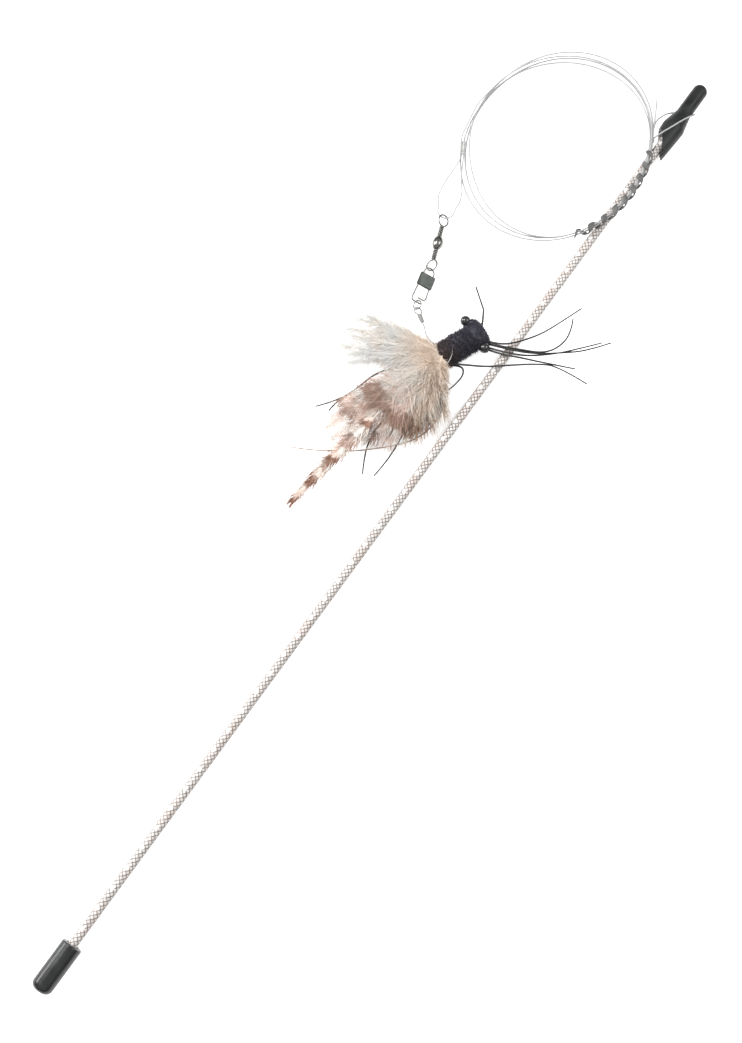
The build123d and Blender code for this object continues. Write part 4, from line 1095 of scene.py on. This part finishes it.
def feather_tree():
    """A shaft with barbs on both sides. The curve's radius at each point is the vane's half width there."""
    tree, given = geometry_tree("feather", (
        "Barb Thickness", "Shaft Radius", "Bare Quill", "Root Angle", "Tip Angle", "Scatter", "Lift", "Curl",
    ), ("Barbs", "Seed"))
    calc, steer = partial(math_node, tree), partial(vector_node, tree)
    level = add(tree, "GeometryNodeSetCurveNormal", {"Curve": given["Geometry"]}, mode="Z_UP").outputs[0]
    share = add(tree, "GeometryNodeSplineParameter").outputs["Factor"]
    even = add(tree, "GeometryNodeResampleCurve", {"Curve": level, "Count": SHAFT_STEPS}, mode="COUNT")
    slim = calc("MULTIPLY", given["Shaft Radius"], remap(tree, share, 0.0, 1.0, 1.0, SHAFT_TIP_SHARE))
    ring = add(tree, "GeometryNodeCurvePrimitiveCircle", {"Resolution": 6, "Radius": 1.0}).outputs[0]
    shaft = add(tree, "GeometryNodeCurveToMesh", {
        "Curve": even.outputs[0], "Profile Curve": ring, "Scale": slim, "Fill Caps": True}).outputs[0]
    vane = add(tree, "GeometryNodeTrimCurve", {"Curve": level}, mode="FACTOR")
    tree.links.new(given["Bare Quill"], vane.inputs["Start"])
    rows = add(tree, "GeometryNodeResampleCurve", {
        "Curve": vane.outputs[0], "Count": given["Barbs"]}, mode="COUNT").outputs[0]
    tangent = add(tree, "GeometryNodeInputTangent").outputs[0]
    aside = add(tree, "GeometryNodeInputNormal").outputs[0]
    above = steer("CROSS_PRODUCT", tangent, aside)
    reach = add(tree, "GeometryNodeInputRadius").outputs[0]
    both = add(tree, "GeometryNodeJoinGeometry")
    tree.links.new(shaft, both.inputs[0])
    for index, hand in enumerate((-1.0, 1.0)):
        seed = calc("ADD", given["Seed"], 11.0 * (index + 1))
        angle = add(tree, "ShaderNodeMapRange", {
            0: share, 3: given["Root Angle"], 4: given["Tip Angle"]}).outputs[0]
        angle = calc("MULTIPLY_ADD", off_centre(tree, seed, 3.0), given["Scatter"], angle)
        forward = steer("SCALE", tangent, scale=calc("COSINE", angle))
        outward = steer("SCALE", aside, scale=calc("MULTIPLY", calc("SINE", angle), hand))
        raised = steer("SCALE", above, scale=calc("MULTIPLY", off_centre(tree, seed, 5.0), given["Lift"]))
        aim = steer("ADD", steer("ADD", forward, outward), raised)
        roll = calc("MULTIPLY", off_centre(tree, seed, 9.0), BARB_ROLL)
        facing = steer("ADD", above, steer("SCALE", aside, scale=roll))
        turned = add(
            tree, "FunctionNodeAxesToRotation", {0: aim, 1: facing}, primary_axis="X", secondary_axis="Z")
        bend = calc("MULTIPLY", given["Curl"], -hand)
        tip = add(tree, "ShaderNodeCombineXYZ", {0: 1.0, 1: bend, 2: -0.06}).outputs[0]
        barb = add(tree, "GeometryNodeCurveQuadraticBezier", {
            "Resolution": 4, "Start": (0, 0, 0), "Middle": (0.55, 0, 0.05), "End": tip}).outputs[0]
        thread = add(tree, "GeometryNodeCurvePrimitiveCircle", {
            "Resolution": 3, "Radius": given["Barb Thickness"]}).outputs[0]
        barb = add(tree, "GeometryNodeCurveToMesh", {
            "Curve": barb, "Profile Curve": thread, "Fill Caps": True,
            "Scale": remap(tree, share, 0.0, 1.0, 1.0, BARB_TIP_SHARE)}).outputs[0]
        length = calc("MULTIPLY", reach, random_value(tree, 0.6, 1.1, calc("ADD", seed, 7.0)))
        points = store(tree, rows, "chance", random_value(tree, 0.0, 1.0, seed))
        strands = add(tree, "GeometryNodeInstanceOnPoints", {
            "Points": points, "Instance": barb, "Rotation": turned.outputs[0], "Scale": length}).outputs[0]
        tree.links.new(strands, both.inputs[0])
    put_out(tree, both.outputs[0], given["Material"])
    return tree


def feather_route(heading, length, start, rise, bow, hump):
    """Control points of a shaft from the feathers' root, bowed sideways and humped upwards, in metres."""
    ahead = heading_vector(heading)
    side = Vector((-ahead.y, ahead.x, 0))
    points = []
    for step in range(SHAFT_SPANS + 1):
        share = step / SHAFT_SPANS
        swell = 4 * share * (1 - share)
        up = Vector((0, 0, start + (rise - start) * share + hump * swell - FEATHER_ROOT.z))
        points.append((FEATHER_ROOT + ahead * length * share + side * bow * swell + up) * MM)
    return points


def vane_width(share, width, tip_share):
    """Half width of a vane along its shaft: a quick swell from the root and a fall to its tip's share."""
    swell = VANE_ROOT_SHARE + (1 - VANE_ROOT_SHARE) * min(1.0, share / VANE_FULL_SHARE) ** VANE_SWELL_POWER
    fall = max(0.0, (share - VANE_FALL_SHARE) / (1 - VANE_FALL_SHARE)) ** VANE_FALL_POWER
    return width * swell * (1 - (1 - tip_share) * fall)


def feather_curve(name, rows):
    """A curve of feather shafts, one for each row of the feather tables."""
    routes = [feather_route(*row[:6]) for row in rows]

    def half_width(index, share):
        width, tip_share = rows[index][6:]
        return vane_width(share, width * MM, tip_share)

    return link_object(name, smooth_curve(name, routes, half_width))


# Each shaft's heading, length, height at root and tip, sideways bow and upward hump, in degrees and
# millimetres, then the barbs' length and its share at the tip
CREAM_ROWS = [
    (99, 34, 3.0, 6.4, 0.8, 2.2, 5.2, 0.9), (104, 38, 2.8, 6.0, -1.0, 2.0, 5.0, 0.9),
    (111, 41, 2.2, 5.2, -0.8, 2.2, 5.0, 0.95), (115, 37, 1.8, 4.6, 0.6, 2.2, 5.2, 0.9),
    (121, 41, 1.4, 4.0, 0.6, 2.0, 5.0, 0.95), (126, 38, 1.2, 3.6, -0.4, 2.0, 5.2, 0.9),
    (131, 39, 0.8, 3.0, 0.6, 2.0, 4.8, 0.95),
    (106, 25, 3.4, 7.0, 0.4, 2.8, 6.6, 0.9), (117, 28, 3.4, 6.8, 0.6, 2.8, 7.0, 0.85),
    (128, 26, 3.4, 6.4, 0.6, 2.8, 7.0, 0.85), (139, 22, 3.4, 6.2, 0.6, 2.6, 7.0, 0.85),
    (158, 26, 3.8, 7.2, 1.0, 3.6, 6.4, 0.8), (168, 27, 3.8, 7.0, 1.4, 3.6, 6.0, 0.75),
]
BARRED_ROWS = [
    (151, 47, 1.2, 2.4, 0.4, 2.2, 6.4, 0.75), (154, 45, 0.2, 1.2, 0.6, 1.8, 7.0, 0.75),
    (156, 53, 0.6, 1.6, 1.0, 2.0, 7.5, 0.7), (159, 58, 0.0, 1.8, -0.6, 2.0, 7.5, 0.65),
    (164, 58, 0.6, 1.4, 0.8, 2.0, 8.0, 0.65), (170, 53, -0.2, 1.0, -0.8, 1.8, 8.5, 0.7),
    (176, 47, -0.6, 0.8, 0.6, 1.4, 9.0, 0.75), (183, 43, -0.8, 0.6, -0.8, 1.2, 9.0, 0.8),
    (154, 36, 2.8, 5.0, 0.8, 2.4, 8.0, 0.8), (160, 43, 3.0, 5.0, -0.4, 2.6, 8.5, 0.75),
    (167, 41, 3.2, 5.2, 0.6, 2.6, 9.0, 0.8), (175, 39, 3.0, 5.0, -0.4, 2.6, 9.5, 0.8),
    (183, 37, 3.2, 5.2, -0.8, 2.8, 9.0, 0.8),
]
TAN_ROWS = [
    (189, 37, -0.4, 0.6, -1.2, 1.8, 8.5, 0.85), (196, 35, -0.2, 0.8, -1.4, 2.0, 8.5, 0.85),
    (204, 30, 0.2, 1.2, -1.4, 2.0, 8.2, 0.85), (213, 24, 0.8, 1.6, -1.4, 2.0, 7.6, 0.9),
    (192, 31, 3.0, 4.6, -1.0, 2.6, 8.2, 0.8),
    (200, 26, 3.4, 5.6, -1.2, 3.2, 8.0, 0.85), (210, 19, 3.6, 5.6, -1.2, 3.0, 7.4, 0.9),
    (188, 25, 3.8, 7.0, -0.6, 3.6, 7.2, 0.85), (203, 16, 3.8, 6.6, -0.8, 3.2, 7.0, 0.9),
]
TAIL_ROWS = [(171.5, 88.0, 1.6, 6.2, -0.8, 3.4, 8.0, 0.55)]
# How each group's barbs stand, in the order of these inputs of the feather tree
STANCE_INPUTS = ("Bare Quill", "Root Angle", "Tip Angle", "Scatter", "Lift", "Seed")
CREAM_STANCE = (0.1, 0.8, 0.5, 0.9, 0.8, 3)
BARRED_STANCE = (0.1, 1.0, 0.6, 0.8, 0.7, 5)
TAN_STANCE = (0.18, 0.85, 0.5, 0.6, 0.7, 8)
TAIL_STANCE = (0.46, 0.62, 0.45, 0.3, 0.3, 13)
# Dark bars: distance from the feathers' root, half width and strength
BARRED_BARS = [(35.5, 5.2, 0.75), (47.0, 3.4, 0.7)]
TAN_BARS = [(34.5, 4.4, 0.8)]
TAIL_BARS = [(45.0, 3.0, 0.9), (56.0, 2.6, 0.6), (66.5, 4.2, 0.95), (77.0, 3.6, 0.95), (87.0, 3.6, 0.95)]


class WAND_OT_feathers(bpy.types.Operator):
    """Grows the cream fan, the barred and tan body feathers and the long tail feather barb by barb"""
    bl_idname = "wand.feathers"
    bl_label = "Feathers"

    def execute(self, context):
        tree = feather_tree()
        tone = colours()
        cream = feather_finish("cream_finish", tone.tan, tone.cream, tone.white, [], 0.04, tone.tan)
        barred = feather_finish(
            "barred_finish", tone.tan, tone.blush, tone.cream,
            [(*bar, tone.bar) for bar in BARRED_BARS], 0.06, tone.brown)
        tan = feather_finish(
            "tan_finish", tone.tan, tone.tan, tone.cream,
            [(*bar, tone.bar) for bar in TAN_BARS], 0.3, tone.gold)
        tail = feather_finish(
            "tail_finish", tone.brown, tone.blush, tone.cream,
            [(*bar, tone.brown) for bar in TAIL_BARS], 0.05, tone.brown)
        for name, rows, node, slot, stance, thick, finish in (
            ("cream_barbs", CREAM_ROWS, "cream_feathers", "cream_feather", CREAM_STANCE, 1.5, cream),
            ("barred_barbs", BARRED_ROWS, "barred_feathers", "barred_feather", BARRED_STANCE, 1.0, barred),
            ("tan_barbs", TAN_ROWS, "tan_feathers", "tan_feather", TAN_STANCE, 1.0, tan),
            ("tail_barbs", TAIL_ROWS, "tail_feather", "tail_feather", TAIL_STANCE, 2.2, tail),
        ):
            shafts = feather_curve(name, rows)
            use_tree(shafts, tree, {
                "Barbs": sizes().barbs, "Barb Thickness": sizes().barb_thickness * thick,
                "Shaft Radius": SHAFT_RADIUS, "Curl": BARB_CURL, "Material": finish,
                **dict(zip(STANCE_INPUTS, stance))})
            dress(settle(shafts, name), "lure", slot, node)
        return {"FINISHED"}


# Stage
FLOOR_HALF = 6.0
FLOOR_DROP = 0.05 * MM
FLOOR_GLOW = 0.72
WAND_MIDDLE = Vector((0.28, 0.02, 0))
# Lamps: each lamp's offset from the wand's middle, the offset of what it aims at, its width and its power
LAMPS = [
    ("key", (-0.15, 0.55, 0.9), (0, 0, 0), 0.5, 8.0),
    ("side", (-0.3, 0.9, 0.34), (-0.16, 0, 0), 0.55, 6.0),
    ("fill", (0.5, -0.6, 0.8), (0, 0, 0), 0.6, 5.0),
]
SKY_LOW = (0.075, 0.075, 0.075)
SKY_HIGH = (0.75, 0.75, 0.75)


def floor_finish():
    """Floor that stays white to the eye, through clear pieces and in reflections, with a faint shadow."""
    material = bpy.data.materials.new("floor_white")
    material.use_nodes = True
    tree = material.node_tree
    tree.nodes.clear()
    seen = add(tree, "ShaderNodeLightPath").outputs
    direct = math_node(tree, "MAXIMUM", seen["Is Camera Ray"], seen["Is Transmission Ray"])
    direct = math_node(tree, "MAXIMUM", direct, seen["Is Glossy Ray"])
    matte = add(tree, "ShaderNodeBsdfDiffuse", {"Color": (0.82, 0.82, 0.82, 1)})
    glow = add(tree, "ShaderNodeEmission", {
        "Color": (1, 1, 1, 1), "Strength": math_node(tree, "MULTIPLY", direct, FLOOR_GLOW)})
    mixed = add(tree, "ShaderNodeAddShader", {0: matte.outputs[0], 1: glow.outputs[0]})
    add(tree, "ShaderNodeOutputMaterial", {0: mixed.outputs[0]})
    return material


def area_light(name, place, aim, size, power):
    data = bpy.data.lights.new(name, "AREA")
    data.shape = "DISK"
    data.size = size
    data.energy = power
    lamp = link_object(name, data)
    lamp.location = place
    lamp.rotation_mode = "QUATERNION"
    lamp.rotation_quaternion = (aim - place).to_track_quat("-Z", "Y")


class WAND_OT_stage(bpy.types.Operator):
    """Lays the white floor and sets the soft lamps and the camera at the photograph's view"""
    bl_idname = "wand.stage"
    bl_label = "Stage"

    def execute(self, context):
        scene = context.scene
        mesh = bpy.data.meshes.new("floor")
        level = FLOOR_Z - FLOOR_DROP
        corners = ((-1, -1), (1, -1), (1, 1), (-1, 1))
        mesh.from_pydata([(x * FLOOR_HALF, y * FLOOR_HALF, level) for x, y in corners], [], [(0, 1, 2, 3)])
        mesh.materials.append(floor_finish())
        link_object("floor", mesh)
        world = bpy.data.worlds.new("studio")
        scene.world = world
        world.use_nodes = True
        tree = world.node_tree
        ray = add(tree, "ShaderNodeTexCoord").outputs["Generated"]
        height = add(tree, "ShaderNodeSeparateXYZ", {0: ray}).outputs["Z"]
        sky = blend_colours(tree, remap(tree, height, 0.2, 0.75, smooth=True), SKY_LOW, SKY_HIGH)
        seen = add(tree, "ShaderNodeLightPath").outputs["Is Camera Ray"]
        tree.links.new(blend_colours(tree, seen, sky, (1, 1, 1)), tree.nodes["Background"].inputs["Color"])
        for name, offset, aim_offset, size, power in LAMPS:
            area_light(name, WAND_MIDDLE + Vector(offset), WAND_MIDDLE + Vector(aim_offset), size, power)
        data = bpy.data.cameras.new("camera")
        data.sensor_width = SENSOR
        data.lens = FOCAL_PX / PHOTO_HEIGHT_PX * SENSOR
        data.clip_start = 0.01
        camera = link_object("camera", data)
        azimuth, elevation = math.radians(CAMERA_AZIMUTH), math.radians(CAMERA_ELEVATION)
        level_back = Vector((math.sin(azimuth), -math.cos(azimuth), 0))
        back = level_back * math.cos(elevation) + Vector((0, 0, math.sin(elevation)))
        camera.location = CAMERA_AIM + back * CAMERA_DISTANCE
        camera.rotation_mode = "QUATERNION"
        camera.rotation_quaternion = (-back).to_track_quat("-Z", "Y")
        scene.camera = camera
        scene.view_settings.view_transform = "Standard"
        return {"FINISHED"}


class WAND_PT_panel(bpy.types.Panel):
    """Lists the wand's pieces, sizes and colours"""
    bl_idname = "WAND_PT_panel"
    bl_label = "Teaser Wand"
    bl_space_type = "VIEW_3D"
    bl_region_type = "UI"
    bl_category = "Teaser Wand"

    def draw(self, context):
        for operator in OPERATORS:
            self.layout.operator(operator.bl_idname)
        for group in (context.scene.wand_sizes, context.scene.wand_colours):
            box = self.layout.box()
            for name in group.__annotations__:
                box.prop(group, name)


OPERATORS = (
    WAND_OT_stage, WAND_OT_line, WAND_OT_rod, WAND_OT_tie, WAND_OT_swivel, WAND_OT_head, WAND_OT_bristles,
    WAND_OT_feathers,
)
CLASSES = (WandSizes, WandColours) + OPERATORS + (WAND_PT_panel,)


def register():
    for cls in CLASSES:
        bpy.utils.register_class(cls)
    bpy.types.Scene.wand_sizes = PointerProperty(type=WandSizes)
    bpy.types.Scene.wand_colours = PointerProperty(type=WandColours)


def unregister():
    del bpy.types.Scene.wand_colours
    del bpy.types.Scene.wand_sizes
    for cls in reversed(CLASSES):
        bpy.utils.unregister_class(cls)


def main():
    register()
    bpy.ops.wand.stage()
    bpy.ops.wand.line()
    bpy.ops.wand.rod()
    bpy.ops.wand.tie()
    bpy.ops.wand.swivel()
    bpy.ops.wand.head()
    bpy.ops.wand.bristles()
    bpy.ops.wand.feathers()


if __name__ == "__main__":
    main()
